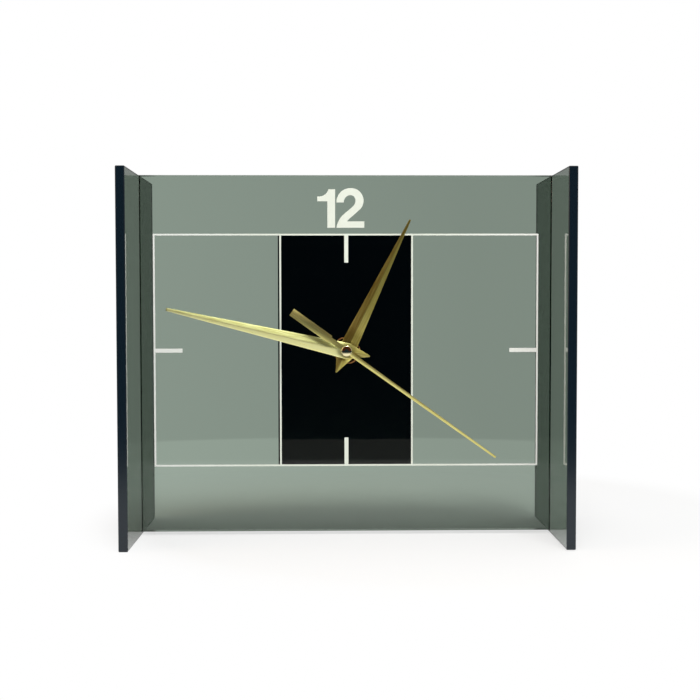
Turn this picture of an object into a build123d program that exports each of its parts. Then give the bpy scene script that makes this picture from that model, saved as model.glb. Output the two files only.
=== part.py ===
# Desk clock of smoked acrylic sheet: an H in plan, with a quartz movement behind the face.
# Millimetres, +Z up, the face looks towards -Y, origin on the table under the middle.
import math
import os

from build123d import *

os.makedirs("parts", exist_ok=True)

# Acrylic panels
overall_width = 216.0
overall_height = 181.0
overall_depth = 88.0
sheet = 4.5
face_lift = 1.4
edge_break = 0.5
inside_width = overall_width - 2 * sheet

# Printed dial: sizes run to the outer edges of the white lines
frame_top_margin = 29.3
frame_side_margin = 6.7
frame_height = 117.1
band_width = 67.1
line_width = 0.85
tick_length = 13.6
tick_width = 2.0
ink = 0.08
numeral_height = 19.8
numeral_gap = 3.0
frame_width = inside_width - 2 * frame_side_margin
hub_height = overall_height - frame_top_margin - frame_height / 2

# Digits over the frame: straight and curved edges, in shares of their height from the hub line and the foot
one_line_shares = (
    ((-0.73, 0.791), (-0.73, 0.668), (-0.476, 0.668), (-0.476, 0.0)),
    ((-0.476, 0.0), (-0.28, 0.0), (-0.28, 0.97), (-0.446, 0.97)),
)
one_arc_shares = (
    ((-0.446, 0.97), (-0.538, 0.835), (-0.73, 0.791)),
)
two_line_shares = (
    ((0.359, 0.472), (0.133, 0.271)),
    ((0.022, 0.161), (0.46, 0.161), (0.46, 0.0), (-0.245, 0.0)),
    ((-0.049, 0.35), (0.16, 0.526)),
    ((-0.061, 0.637), (-0.245, 0.637)),
)
two_arc_shares = (
    ((-0.245, 0.637), (-0.139, 0.898), (0.111, 1.0)),
    ((0.111, 1.0), (0.344, 0.913), (0.442, 0.693)),
    ((0.442, 0.693), (0.423, 0.578), (0.359, 0.472)),
    ((0.133, 0.271), (0.071, 0.217), (0.022, 0.161)),
    ((-0.245, 0.0), (-0.179, 0.195), (-0.049, 0.35)),
    ((0.16, 0.526), (0.216, 0.598), (0.236, 0.688)),
    ((0.236, 0.688), (0.205, 0.778), (0.098, 0.822)),
    ((0.098, 0.822), (-0.013, 0.766), (-0.061, 0.637)),
)

# Black backing sheet, laid a little to the left of the printed band
backing_thickness = 0.5
backing_overlap = 0.25
backing_shift = 0.65
backing_width = band_width + 2 * backing_overlap
backing_height = frame_height - line_width

# Fits, as radial or end clearances
running_gap = 0.05
seat_gap = 0.01
loose_gap = 0.2
end_float = 0.3

# Tubes, arbors and bush on the hub, as radii
second_arbor_radius = 0.6
minute_tube_wall = 0.8
hour_tube_wall = 0.75
bush_wall = 1.7
minute_bore = second_arbor_radius + running_gap
minute_tube_radius = minute_bore + minute_tube_wall
hour_bore = minute_tube_radius + running_gap
hour_tube_radius = hour_bore + hour_tube_wall
bush_bore = hour_tube_radius + running_gap
bush_radius = bush_bore + bush_wall

# Fastening on the front of the face
washer_thickness = 0.5
washer_rim = 2.2
nut_thickness = 2.5
nut_across_flats = 13.0
nut_chamfer = 0.7
bush_stand_out = 0.5
gasket_thickness = 1.0
gasket_rim = 3.5

# Hands
hand_sheet = 0.35
crease_angle = 12.0
collet_length = 1.9
collet_rim = 0.9
tube_stand_out = 0.4
hour_length = 72.5
hour_tail = 12.0
hour_shoulder = 2.0
hour_half_width = 4.4
hour_tip = 0.5
hour_angle = 26.0
minute_length = 91.8
minute_tail = 12.0
minute_shoulder = 0.9
minute_half_width = 4.05
minute_tip = 1.5
minute_angle = 283.1
second_length = 91.3
second_root = 2.1
second_tip = 1.0
second_neck = 2.4
second_hub_radius = 2.5
second_angle = 125.6
weight_reach = 33.4
weight_length = 23.3
weight_width = 4.0
boss_radius = 2.7
boss_stem_wall = 0.9
boss_back = 0.75
boss_dome = 1.0
boss_flat_share = 0.5

# Gear train: tooth counts and modules
rotor_leaves = 6
third_teeth = 30
third_leaves = 6
second_teeth = 36
second_leaves = 6
intermediate_teeth = 45
intermediate_leaves = 6
centre_teeth = 48
cannon_leaves = 8
motion_teeth = 24
motion_leaves = 8
hour_teeth = 32
setting_leaves = 8
rotor_module = 0.48
third_module = 0.53
centre_module = 0.40
motion_module = 0.525
addendum_share = 0.85
dedendum_share = 1.25
tooth_root_share = 0.50
tooth_tip_share = 0.20
wheel_thickness = 1.0
level_gap = 0.5
arbor_radius = 0.45
pivot_length = 0.8
post_width = 2.2
post_clearance = 0.4
motion_post_radius = 0.8
bearing_sides = 12

# Where the wheels stand around the hub, as angles seen from the front
third_direction = 140.0
rotor_direction = 100.0
intermediate_direction = 10.0
motion_direction = 190.0
setting_direction = 170.0
upper_post_direction = 75.0
left_post_direction = 160.0
right_post_direction = -40.0

# Motor, circuit and cell
magnet_radius = 2.75
magnet_length = 2.6
stator_gap = 0.6
stator_ring = 1.5
stator_strip = 3.8
stator_sheet = 1.0
stator_left = 8.6
stator_right = 27.4
core_width = 3.0
bobbin_wall = 0.8
bobbin_rim = 2.0
winding_build = 1.8
coil_left = 5.8
coil_right = 24.4
coil_clearance = 0.4
bridge_thickness = 1.0
bridge_margin = 2.2
board_thickness = 0.8
board_low = 2.5
board_height = 11.5
board_gap = 0.15
can_diameter = 2.6
can_length = 6.2
can_along = 12.0
chip_width = 5.6
chip_height = 1.2
chip_slope = 0.5
chip_along = 2.0
cell_diameter = 14.5
cell_length = 49.5
cell_nub_length = 1.0
cell_nub_radius = 2.75
cell_gap = 0.35
contact_sheet = 0.4
contact_width = 9.0
contact_height = 10.0
contact_riser = 2.0
contact_reach = 3.0
leaf_rise = 1.65
leaf_height = 8.0
leaf_width = 5.0

# Movement case, cover and knob
case_wall = 1.5
case_corner = 3.0
partition = 1.2
partition_slot = 0.8
train_drop = 10.4
cover_thickness = 1.2
cover_gap = 0.6
lip_depth = 1.0
lip_wall = 1.0
lip_gap = 0.1
setting_arbor_radius = 1.0
knob_radius = 5.5
knob_thickness = 4.0
knob_clearance = 0.5
knob_ribs = 16
knob_rib_height = 0.6


def polar(radius, angle, start=(0.0, 0.0)):
    turn = math.radians(angle)
    return start[0] + radius * math.cos(turn), start[1] + radius * math.sin(turn)


def front(level, at=(0.0, 0.0), turn=0.0):
    # Drawing plane at depth `level`, seen from the front, with the hub as its middle
    spin = math.radians(turn)
    origin = (at[0], level, hub_height + at[1])
    return Plane(origin=origin, x_dir=(math.cos(spin), 0, math.sin(spin)), z_dir=(0, -1, 0))


def across(x):
    # Drawing plane square to X: depth runs along its first axis, height along its second
    return Plane(origin=(x, 0, hub_height), x_dir=(0, 1, 0), z_dir=(1, 0, 0))


def rod(radius, start, end, at=(0.0, 0.0), mode=Mode.ADD):
    # Round bar along the depth, from `start` to `end`
    with BuildSketch(front(start, at)) as outline:
        Circle(radius)
    extrude(outline.sketch, amount=start - end, mode=mode)


def pillar(width, start, end, at):
    # Square bar along the depth, from `start` to `end`
    with BuildSketch(front(start, at)) as outline:
        Rectangle(width, width)
    extrude(outline.sketch, amount=start - end)


def bearing(radius, start, end, at):
    # Hole for an arbor or for the bush, with flats that touch a circle of the given radius
    with BuildSketch(front(start, at)) as outline:
        RegularPolygon(radius=radius, side_count=bearing_sides, major_radius=False)
    extrude(outline.sketch, amount=start - end, mode=Mode.SUBTRACT)


def turned(profile, mode=Mode.ADD):
    # Body turned about the hub from (radius, depth) points
    with BuildSketch(Plane(origin=(0, 0, hub_height), x_dir=(1, 0, 0), z_dir=(0, 0, 1))) as outline:
        with BuildLine():
            Polyline(*profile, close=True)
        make_face()
    revolve(outline.sketch, axis=Axis((0, 0, hub_height), (0, 1, 0)), mode=mode)


def tip_radius(teeth, module):
    return module * (teeth / 2 + addendum_share)


def ribbed(ribs, root, tip, phase, level, at, length):
    # Disc with straight-sided ribs round its rim, the middle of one at the angle `phase`
    pitch = 360.0 / ribs
    corners = []
    for rib in range(ribs):
        middle = phase + rib * pitch
        corners.append(polar(root, middle - tooth_root_share / 2 * pitch))
        corners.append(polar(tip, middle - tooth_tip_share / 2 * pitch))
        corners.append(polar(tip, middle + tooth_tip_share / 2 * pitch))
        corners.append(polar(root, middle + tooth_root_share / 2 * pitch))
    with BuildSketch(front(level, at)) as outline:
        with BuildLine():
            Polyline(*corners, close=True)
        make_face()
    extrude(outline.sketch, amount=-length)


def toothed(teeth, module, phase, level, at=(0.0, 0.0), length=wheel_thickness):
    # Toothed disc, with the middle of one tooth at the angle `phase`
    root = module * (teeth / 2 - dedendum_share)
    ribbed(teeth, root, tip_radius(teeth, module), phase, level, at, length)


def mesh_phase(direction, teeth, phase, mate_teeth):
    # Phase that puts a gap of the mate over the tooth that points along `direction`
    return direction + 180.0 - 180.0 / mate_teeth + (direction - phase) * teeth / mate_teeth


def creased_hand(length, tail, shoulder, half_width, tip, tail_tip, angle, ridge, bore):
    # Kite-shaped sheet folded along its middle line, pierced for its collet
    turn = 90.0 - angle
    spin = math.radians(turn)
    along = (math.cos(spin), 0, math.sin(spin))
    beside = (-math.sin(spin), 0, math.cos(spin))
    drop = half_width * math.tan(math.radians(crease_angle))
    skin = hand_sheet / math.cos(math.radians(crease_angle))
    start = polar(tail, turn + 180.0)
    fold = Plane(origin=(start[0], ridge, hub_height + start[1]), x_dir=beside, z_dir=along)
    with BuildSketch(fold) as chevron:
        with BuildLine():
            Polyline(
                (0, 0),
                (half_width, -drop),
                (half_width, -drop - skin),
                (0, -skin),
                (-half_width, -drop - skin),
                (-half_width, -drop),
                close=True,
            )
        make_face()
    extrude(chevron.sketch, amount=tail + length)
    with BuildSketch(front(ridge, (0.0, 0.0), turn)) as kite:
        with BuildLine():
            Polyline(
                (-tail, -tail_tip / 2),
                (-shoulder, -half_width),
                (length, -tip / 2),
                (length, tip / 2),
                (-shoulder, half_width),
                (-tail, tail_tip / 2),
                close=True,
            )
        make_face()
    extrude(kite.sketch, amount=-drop - skin, mode=Mode.INTERSECT)
    rod(bore, ridge, ridge + drop + skin, mode=Mode.SUBTRACT)


def digit(line_shares, arc_shares):
    # One printed digit, drawn over the frame from its straight and curved edges
    with BuildSketch(front(face_front, (0.0, frame_height / 2 + numeral_gap))) as outline:
        with BuildLine():
            for shares in line_shares:
                corners = [(numeral_height * along, numeral_height * up) for along, up in shares]
                Polyline(*corners)
            for shares in arc_shares:
                corners = [(numeral_height * along, numeral_height * up) for along, up in shares]
                ThreePointArc(*corners)
        make_face()
    extrude(outline.sketch, amount=ink)


# Depths on the hub, from the face towards the viewer
face_front = -sheet / 2
face_back = sheet / 2
washer_front = face_front - washer_thickness
nut_front = washer_front - nut_thickness
bush_end = nut_front - bush_stand_out
hour_collet_back = bush_end - end_float
hour_ridge = hour_collet_back - collet_length
hour_tube_end = hour_ridge - tube_stand_out
minute_collet_back = hour_tube_end - end_float
minute_ridge = minute_collet_back - collet_length
minute_tube_end = minute_ridge - tube_stand_out
boss_start = minute_tube_end - end_float
second_back = boss_start - boss_back
second_front = second_back - hand_sheet

# Depths in the movement, from the face towards the back
backing_back = face_back + backing_thickness
case_front = backing_back + gasket_thickness
plate_back = case_front + case_wall
level_step = wheel_thickness + level_gap
hour_level = plate_back + end_float
motion_level = hour_level + level_step
centre_level = motion_level + level_step
intermediate_level = centre_level + level_step
second_level = intermediate_level + level_step
third_level = second_level + level_step
bridge_front = third_level + level_step
bridge_back = bridge_front + bridge_thickness
board_back = bridge_back + board_thickness
cover_front = board_back + can_diameter + cover_gap
cover_back = cover_front + cover_thickness
stator_front = centre_level
stator_back = stator_front + stator_sheet
core_back = stator_back + stator_sheet

# Wheel positions: the two meshes on each off-centre arbor share one centre distance
third_distance = third_module * (second_teeth + third_leaves) / 2
rotor_distance = rotor_module * (third_teeth + rotor_leaves) / 2
intermediate_distance = centre_module * (centre_teeth + intermediate_leaves) / 2
intermediate_module = 2 * intermediate_distance / (second_leaves + intermediate_teeth)
motion_distance = motion_module * (cannon_leaves + motion_teeth) / 2
hour_module = 2 * motion_distance / (motion_leaves + hour_teeth)
setting_distance = motion_module * (motion_teeth + setting_leaves) / 2
third_at = polar(third_distance, third_direction)
rotor_at = polar(rotor_distance, rotor_direction, third_at)
intermediate_at = polar(intermediate_distance, intermediate_direction)
motion_at = polar(motion_distance, motion_direction)
setting_at = polar(setting_distance, setting_direction, motion_at)
post_stand_off = post_width / math.sqrt(2) + post_clearance
upper_post_reach = tip_radius(centre_teeth, centre_module) + post_stand_off
left_post_reach = tip_radius(third_teeth, rotor_module) + post_stand_off
right_post_reach = tip_radius(intermediate_teeth, intermediate_module) + post_stand_off
upper_post_at = polar(upper_post_reach, upper_post_direction)
left_post_at = polar(left_post_reach, left_post_direction, third_at)
right_post_at = polar(right_post_reach, right_post_direction, intermediate_at)
bridge_posts = (upper_post_at, left_post_at, right_post_at)
arbors_at = (rotor_at, third_at, intermediate_at)
hub_at = (0.0, 0.0)

# Tooth phases, each wheel set from the one that it meshes with
third_leaf_phase = mesh_phase(third_direction, second_teeth, 0.0, third_leaves)
rotor_phase = mesh_phase(rotor_direction, third_teeth, 0.0, rotor_leaves)
intermediate_phase = mesh_phase(intermediate_direction, second_leaves, 0.0, intermediate_teeth)
intermediate_leaf_phase = mesh_phase(intermediate_direction, centre_teeth, 0.0, intermediate_leaves)
motion_phase = mesh_phase(motion_direction, cannon_leaves, 0.0, motion_teeth)
motion_leaf_phase = mesh_phase(motion_direction, hour_teeth, 0.0, motion_leaves)
setting_phase = mesh_phase(setting_direction, motion_teeth, motion_phase, setting_leaves)

# Outline of the case: the cell sets its width, the train, the cell and the coil its height
cell_radius = cell_diameter / 2
inner_half = (cell_length + cell_nub_length + leaf_rise + 2 * contact_sheet) / 2
bay_top = -train_drop - partition
cell_height = bay_top - cell_gap - cell_radius
inner_bottom = cell_height - cell_radius - cell_gap
flange_half = core_width / 2 + bobbin_wall + bobbin_rim
coil_height = rotor_at[1] + stator_strip / 2 + coil_clearance + flange_half
inner_top = coil_height + flange_half + coil_clearance
inner_middle = (inner_top + inner_bottom) / 2
inner_height = inner_top - inner_bottom
case_width = 2 * (inner_half + case_wall)
case_height = inner_height + 2 * case_wall
cell_depth = plate_back + cell_gap + cell_radius
cell_right = inner_half - contact_sheet
cell_shoulder = cell_right - cell_nub_length
cell_left = cell_shoulder - cell_length
stator_left_at = (rotor_at[0] - stator_left, rotor_at[1])
stator_right_at = (rotor_at[0] + stator_right, rotor_at[1])
coil_start = rotor_at[0] + coil_left
coil_end = rotor_at[0] + coil_right


# The two side panels stand on the table and carry the face between them
side_middle = (overall_width - sheet) / 2

with BuildPart() as left_side_panel:
    with Locations((-side_middle, 0, overall_height / 2)):
        Box(sheet, overall_depth, overall_height)
    chamfer(left_side_panel.edges(), length=edge_break)
left_side_panel.part.label = "left_side_panel"
export_step(left_side_panel.part, "parts/left_side_panel.step")

with BuildPart() as right_side_panel:
    with Locations((side_middle, 0, overall_height / 2)):
        Box(sheet, overall_depth, overall_height)
    chamfer(right_side_panel.edges(), length=edge_break)
right_side_panel.part.label = "right_side_panel"
export_step(right_side_panel.part, "parts/right_side_panel.step")

face_height = overall_height - face_lift
with BuildPart() as face_panel:
    with Locations((0, 0, face_lift + face_height / 2)):
        Box(inside_width, sheet, face_height)
    chamfer(face_panel.edges().filter_by(Axis.X), length=edge_break)
    rod(bush_radius + loose_gap, face_front, face_back, mode=Mode.SUBTRACT)
face_panel.part.label = "face_panel"
export_step(face_panel.part, "parts/face_panel.step")

# White lines and hour ticks, raised by the thickness of the ink
band_line_at = (band_width - line_width) / 2
tick_reach = tick_length + line_width
side_tick_at = (frame_width - tick_reach) / 2
end_tick_at = (frame_height - tick_reach) / 2
with BuildPart() as dial_print:
    with BuildSketch(front(face_front)):
        Rectangle(frame_width, frame_height)
        Rectangle(frame_width - 2 * line_width, frame_height - 2 * line_width, mode=Mode.SUBTRACT)
        with Locations((-band_line_at, 0), (band_line_at, 0)):
            Rectangle(line_width, frame_height)
        with Locations((-side_tick_at, 0), (side_tick_at, 0)):
            Rectangle(tick_reach, tick_width)
        with Locations((0, -end_tick_at), (0, end_tick_at)):
            Rectangle(tick_width, tick_reach)
    extrude(amount=ink)
dial_print.part.label = "dial_print"
export_step(dial_print.part, "parts/dial_print.step")

with BuildPart() as numeral_one:
    digit(one_line_shares, one_arc_shares)
numeral_one.part.label = "numeral_one"
export_step(numeral_one.part, "parts/numeral_one.step")

with BuildPart() as numeral_two:
    digit(two_line_shares, two_arc_shares)
numeral_two.part.label = "numeral_two"
export_step(numeral_two.part, "parts/numeral_two.step")

with BuildPart() as backing_sheet:
    with BuildSketch(front(face_back, (-backing_shift, 0.0))):
        Rectangle(backing_width, backing_height)
    extrude(amount=-backing_thickness)
    bearing(bush_radius + loose_gap, face_back, backing_back, hub_at)
backing_sheet.part.label = "backing_sheet"
export_step(backing_sheet.part, "parts/backing_sheet.step")

# Fastening: gasket behind, washer and hex nut in front
with BuildPart() as gasket:
    pillar(2 * (bush_radius + gasket_rim), backing_back, case_front, hub_at)
    bearing(bush_radius + loose_gap, backing_back, case_front, hub_at)
gasket.part.label = "gasket"
export_step(gasket.part, "parts/gasket.step")

with BuildPart() as dial_washer:
    rod(bush_radius + washer_rim, washer_front, face_front)
    bearing(bush_radius + loose_gap, washer_front, face_front, hub_at)
dial_washer.part.label = "dial_washer"
export_step(dial_washer.part, "parts/dial_washer.step")

nut_corner = nut_across_flats / math.sqrt(3)
with BuildPart() as mounting_nut:
    with BuildSketch(front(nut_front)):
        RegularPolygon(radius=nut_corner, side_count=6)
    extrude(amount=-nut_thickness)
    chamfer(mounting_nut.faces().sort_by(Axis.Y)[0].edges(), length=nut_chamfer)
    rod(bush_radius + seat_gap, nut_front, washer_front, mode=Mode.SUBTRACT)
mounting_nut.part.label = "mounting_nut"
export_step(mounting_nut.part, "parts/mounting_nut.step")

# Movement case: front plate, walls, cell bay, bush, posts and blind bearings
with BuildPart() as movement_case:
    with BuildSketch(front(case_front, (0.0, inner_middle))) as shell:
        RectangleRounded(case_width, case_height, case_corner)
    extrude(shell.sketch, amount=case_front - cover_front)
    with BuildSketch(front(plate_back, (0.0, inner_middle))) as cavity:
        Rectangle(2 * inner_half, inner_height)
    extrude(cavity.sketch, amount=plate_back - cover_front, mode=Mode.SUBTRACT)
    with BuildSketch(front(plate_back, (0.0, -train_drop - partition / 2))) as divider:
        Rectangle(2 * (inner_half - partition_slot), partition)
    extrude(divider.sketch, amount=plate_back - cover_front)
    rod(bush_radius, bush_end, case_front)
    rod(bush_bore, bush_end, plate_back, mode=Mode.SUBTRACT)
    for post_at in bridge_posts:
        pillar(post_width, plate_back, bridge_front, post_at)
    for post_at in (stator_left_at, stator_right_at):
        pillar(post_width, plate_back, stator_front, post_at)
    rod(motion_post_radius, plate_back, motion_level + wheel_thickness + loose_gap, motion_at)
    for arbor_at in arbors_at:
        bearing(arbor_radius + running_gap, plate_back - pivot_length, plate_back, arbor_at)
    bearing(setting_arbor_radius + running_gap, plate_back - pivot_length, plate_back, setting_at)
movement_case.part.label = "movement_case"
export_step(movement_case.part, "parts/movement_case.step")

# Rear cover over the train, with a lip inside the walls; the cell bay stays open
lip_height = inner_top + train_drop - 2 * lip_gap
lip_width = 2 * (inner_half - lip_gap)
lip_middle = (inner_top - train_drop) / 2
with BuildPart() as rear_cover:
    with BuildSketch(front(cover_front, (0.0, inner_middle))) as lid:
        RectangleRounded(case_width, case_height, case_corner)
        with Locations((0, bay_top - inner_middle - case_height / 2)):
            Rectangle(case_width, case_height, mode=Mode.SUBTRACT)
    extrude(lid.sketch, amount=-cover_thickness)
    with BuildSketch(front(cover_front - lip_depth, (0.0, lip_middle))) as lip:
        Rectangle(lip_width, lip_height)
        Rectangle(lip_width - 2 * lip_wall, lip_height - 2 * lip_wall, mode=Mode.SUBTRACT)
    extrude(lip.sketch, amount=-lip_depth)
    rod(setting_arbor_radius + running_gap, cover_front, cover_back, setting_at, Mode.SUBTRACT)
rear_cover.part.label = "rear_cover"
export_step(rear_cover.part, "parts/rear_cover.step")

# Bridge on the three posts, with the rear bearings of the train
with BuildPart() as train_bridge:
    with BuildSketch(front(bridge_front)) as plate:
        with Locations(*bridge_posts, *arbors_at, hub_at):
            Rectangle(2 * bridge_margin, 2 * bridge_margin)
        make_hull()
    extrude(plate.sketch, amount=-bridge_thickness)
    bearing(second_arbor_radius + running_gap, bridge_front, bridge_back, hub_at)
    for arbor_at in arbors_at:
        bearing(arbor_radius + running_gap, bridge_front, bridge_back, arbor_at)
train_bridge.part.label = "train_bridge"
export_step(train_bridge.part, "parts/train_bridge.step")

# Circuit board with the crystal can and the chip
board_middle = board_low + board_height / 2
with BuildPart() as circuit_board:
    with BuildSketch(front(bridge_back, (0.0, board_middle))):
        Rectangle(2 * (inner_half - board_gap), board_height)
    extrude(amount=-board_thickness)
circuit_board.part.label = "circuit_board"
export_step(circuit_board.part, "parts/circuit_board.step")

can_radius = can_diameter / 2
with BuildPart() as quartz_crystal:
    with BuildSketch(across(can_along)):
        with Locations((board_back + can_radius, board_middle)):
            Circle(can_radius)
    extrude(amount=can_length)
quartz_crystal.part.label = "quartz_crystal"
export_step(quartz_crystal.part, "parts/quartz_crystal.step")

with BuildPart() as chip:
    pillar(chip_width, board_back, board_back + chip_height, (chip_along, board_middle))
    chamfer(chip.faces().sort_by(Axis.Y)[-1].edges(), length=chip_slope)
chip.part.label = "chip"
export_step(chip.part, "parts/chip.step")

# Stepping motor: stator round the rotor, core through the coil, both legs on the stator
stator_bore = magnet_radius + stator_gap
with BuildPart() as stator:
    with BuildSketch(front(stator_front)) as lamination:
        with Locations(((stator_left_at[0] + stator_right_at[0]) / 2, rotor_at[1])):
            Rectangle(stator_left + stator_right + stator_strip, stator_strip)
        with Locations(rotor_at):
            Rectangle(2 * (stator_bore + stator_ring), 2 * (stator_bore + stator_ring))
            Circle(stator_bore, mode=Mode.SUBTRACT)
    extrude(lamination.sketch, amount=-stator_sheet)
stator.part.label = "stator"
export_step(stator.part, "parts/stator.step")

core_rise = coil_height - rotor_at[1]
with BuildPart() as coil_core:
    with BuildSketch(front(stator_back)) as yoke:
        with Locations(((stator_left_at[0] + stator_right_at[0]) / 2, coil_height)):
            Rectangle(stator_left + stator_right + core_width, core_width)
        for leg_at in (stator_left_at, stator_right_at):
            with Locations((leg_at[0], (leg_at[1] + coil_height) / 2)):
                Rectangle(core_width, core_rise + core_width)
    extrude(yoke.sketch, amount=-stator_sheet)
coil_core.part.label = "coil_core"
export_step(coil_core.part, "parts/coil_core.step")

coil_depth = stator_back + stator_sheet / 2
coil_middle = (coil_depth, coil_height)
barrel_depth = stator_sheet + 2 * bobbin_wall
barrel_height = core_width + 2 * bobbin_wall
flange_starts = (coil_start, coil_end - bobbin_wall)
with BuildPart() as coil_bobbin:
    with BuildSketch(across(coil_start)) as barrel:
        with Locations(coil_middle):
            Rectangle(barrel_depth, barrel_height)
    extrude(barrel.sketch, amount=coil_end - coil_start)
    for flange_start in flange_starts:
        with BuildSketch(across(flange_start)) as flange:
            with Locations(coil_middle):
                Rectangle(barrel_depth + 2 * bobbin_rim, barrel_height + 2 * bobbin_rim)
        extrude(flange.sketch, amount=bobbin_wall)
    with BuildSketch(across(coil_start)) as slot:
        with Locations(coil_middle):
            Rectangle(stator_sheet + 2 * running_gap, core_width + 2 * running_gap)
    extrude(slot.sketch, amount=coil_end - coil_start, mode=Mode.SUBTRACT)
coil_bobbin.part.label = "coil_bobbin"
export_step(coil_bobbin.part, "parts/coil_bobbin.step")

winding_start = coil_start + bobbin_wall
winding_depth = barrel_depth + 2 * winding_build
winding_height = barrel_height + 2 * winding_build
with BuildPart() as coil_winding:
    with BuildSketch(across(winding_start)):
        with Locations(coil_middle):
            RectangleRounded(winding_depth, winding_height, winding_build)
            Rectangle(barrel_depth + 2 * seat_gap, barrel_height + 2 * seat_gap, mode=Mode.SUBTRACT)
    extrude(amount=coil_end - coil_start - 2 * bobbin_wall)
coil_winding.part.label = "coil_winding"
export_step(coil_winding.part, "parts/coil_winding.step")

# Cell between its two contacts
with BuildPart() as cell:
    with BuildSketch(across(cell_left)) as can:
        with Locations((cell_depth, cell_height)):
            Circle(cell_radius)
    extrude(can.sketch, amount=cell_length)
    with BuildSketch(across(cell_shoulder)) as nub:
        with Locations((cell_depth, cell_height)):
            Circle(cell_nub_radius)
    extrude(nub.sketch, amount=cell_nub_length)
cell.part.label = "cell"
export_step(cell.part, "parts/cell.step")

riser_top = board_low + contact_reach
riser_middle = (riser_top + cell_height) / 2
riser_depth = bridge_back - contact_riser / 2
with BuildPart() as positive_contact:
    with BuildSketch(across(inner_half - contact_sheet)):
        with Locations((cell_depth, cell_height)):
            Rectangle(contact_width, contact_height)
        with Locations((riser_depth, riser_middle)):
            Rectangle(contact_riser, riser_top - cell_height)
    extrude(amount=contact_sheet)
positive_contact.part.label = "positive_contact"
export_step(positive_contact.part, "parts/positive_contact.step")

leaf_foot = contact_sheet - inner_half
leaf_half = leaf_height / 2
leaf_skin = leaf_rise - contact_sheet
with BuildPart() as negative_contact:
    with BuildSketch(across(-inner_half)) as strip:
        with Locations((cell_depth, cell_height)):
            Rectangle(contact_width, contact_height)
        with Locations((riser_depth, riser_middle)):
            Rectangle(contact_riser, riser_top - cell_height)
    extrude(strip.sketch, amount=contact_sheet)
    with BuildSketch(front(cell_depth - leaf_width / 2, (leaf_foot, cell_height))) as leaf:
        with BuildLine():
            ThreePointArc((0, -leaf_half), (leaf_rise - seat_gap, 0), (0, leaf_half))
            Line((0, leaf_half), (0, leaf_half - contact_sheet))
            ThreePointArc((0, leaf_half - contact_sheet), (leaf_skin, 0), (0, contact_sheet - leaf_half))
            Line((0, contact_sheet - leaf_half), (0, -leaf_half))
        make_face()
    extrude(leaf.sketch, amount=-leaf_width)
negative_contact.part.label = "negative_contact"
export_step(negative_contact.part, "parts/negative_contact.step")

# Going train, from the rotor to the centre wheel; the arbors run in the plate and in the bridge
arbor_front = plate_back + end_float - pivot_length
arbor_back = bridge_front + pivot_length

magnet_front = stator_front + (stator_sheet - magnet_length) / 2
magnet_back = magnet_front + magnet_length
rotor_leaf_length = third_level + wheel_thickness - magnet_back
with BuildPart() as rotor:
    toothed(rotor_leaves, rotor_module, rotor_phase, magnet_back, rotor_at, rotor_leaf_length)
    rod(arbor_radius, arbor_front, arbor_back, rotor_at)
    rod(magnet_radius, magnet_front, magnet_back, rotor_at)
rotor.part.label = "rotor"
export_step(rotor.part, "parts/rotor.step")

with BuildPart() as third_wheel:
    toothed(third_teeth, rotor_module, 0.0, third_level, third_at)
    toothed(third_leaves, third_module, third_leaf_phase, second_level, third_at, level_step)
    rod(arbor_radius, arbor_front, arbor_back, third_at)
third_wheel.part.label = "third_wheel"
export_step(third_wheel.part, "parts/third_wheel.step")

second_arbor_end = (second_back + second_front) / 2
with BuildPart() as second_wheel:
    toothed(second_teeth, third_module, 0.0, second_level)
    toothed(second_leaves, intermediate_module, 0.0, intermediate_level, length=level_step)
    rod(second_arbor_radius, second_arbor_end, arbor_back)
second_wheel.part.label = "second_wheel"
export_step(second_wheel.part, "parts/second_wheel.step")

with BuildPart() as intermediate_wheel:
    toothed(intermediate_teeth, intermediate_module, intermediate_phase, intermediate_level, intermediate_at)
    toothed(intermediate_leaves, centre_module, intermediate_leaf_phase, centre_level, intermediate_at,
            level_step)
    rod(arbor_radius, arbor_front, arbor_back, intermediate_at)
intermediate_wheel.part.label = "intermediate_wheel"
export_step(intermediate_wheel.part, "parts/intermediate_wheel.step")

wheel_back = centre_level + wheel_thickness
with BuildPart() as centre_wheel:
    toothed(centre_teeth, centre_module, 0.0, centre_level)
    rod(minute_tube_radius + running_gap, centre_level, wheel_back, mode=Mode.SUBTRACT)
centre_wheel.part.label = "centre_wheel"
export_step(centre_wheel.part, "parts/centre_wheel.step")

# Motion work: the minute tube drives the hour wheel, and the knob turns both
minute_tube_back = wheel_back + loose_gap
with BuildPart() as minute_tube:
    toothed(cannon_leaves, motion_module, 0.0, motion_level)
    rod(minute_tube_radius, minute_tube_end, minute_tube_back)
    rod(minute_bore, minute_tube_end, minute_tube_back, mode=Mode.SUBTRACT)
minute_tube.part.label = "minute_tube"
export_step(minute_tube.part, "parts/minute_tube.step")

motion_bore = motion_post_radius + running_gap
with BuildPart() as motion_wheel:
    toothed(motion_teeth, motion_module, motion_phase, motion_level, motion_at)
    toothed(motion_leaves, hour_module, motion_leaf_phase, hour_level, motion_at, level_step)
    rod(motion_bore, hour_level, motion_level + wheel_thickness, motion_at, Mode.SUBTRACT)
motion_wheel.part.label = "motion_wheel"
export_step(motion_wheel.part, "parts/motion_wheel.step")

with BuildPart() as hour_wheel:
    toothed(hour_teeth, hour_module, 0.0, hour_level)
    rod(hour_tube_radius, hour_tube_end, hour_level)
    rod(hour_bore, hour_tube_end, hour_level + wheel_thickness, mode=Mode.SUBTRACT)
hour_wheel.part.label = "hour_wheel"
export_step(hour_wheel.part, "parts/hour_wheel.step")

knob_front = cover_back + knob_clearance
knob_back = knob_front + knob_thickness
with BuildPart() as setting_arbor:
    toothed(setting_leaves, motion_module, setting_phase, motion_level, setting_at)
    rod(setting_arbor_radius, arbor_front, knob_back - case_wall, setting_at)
setting_arbor.part.label = "setting_arbor"
export_step(setting_arbor.part, "parts/setting_arbor.step")

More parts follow.
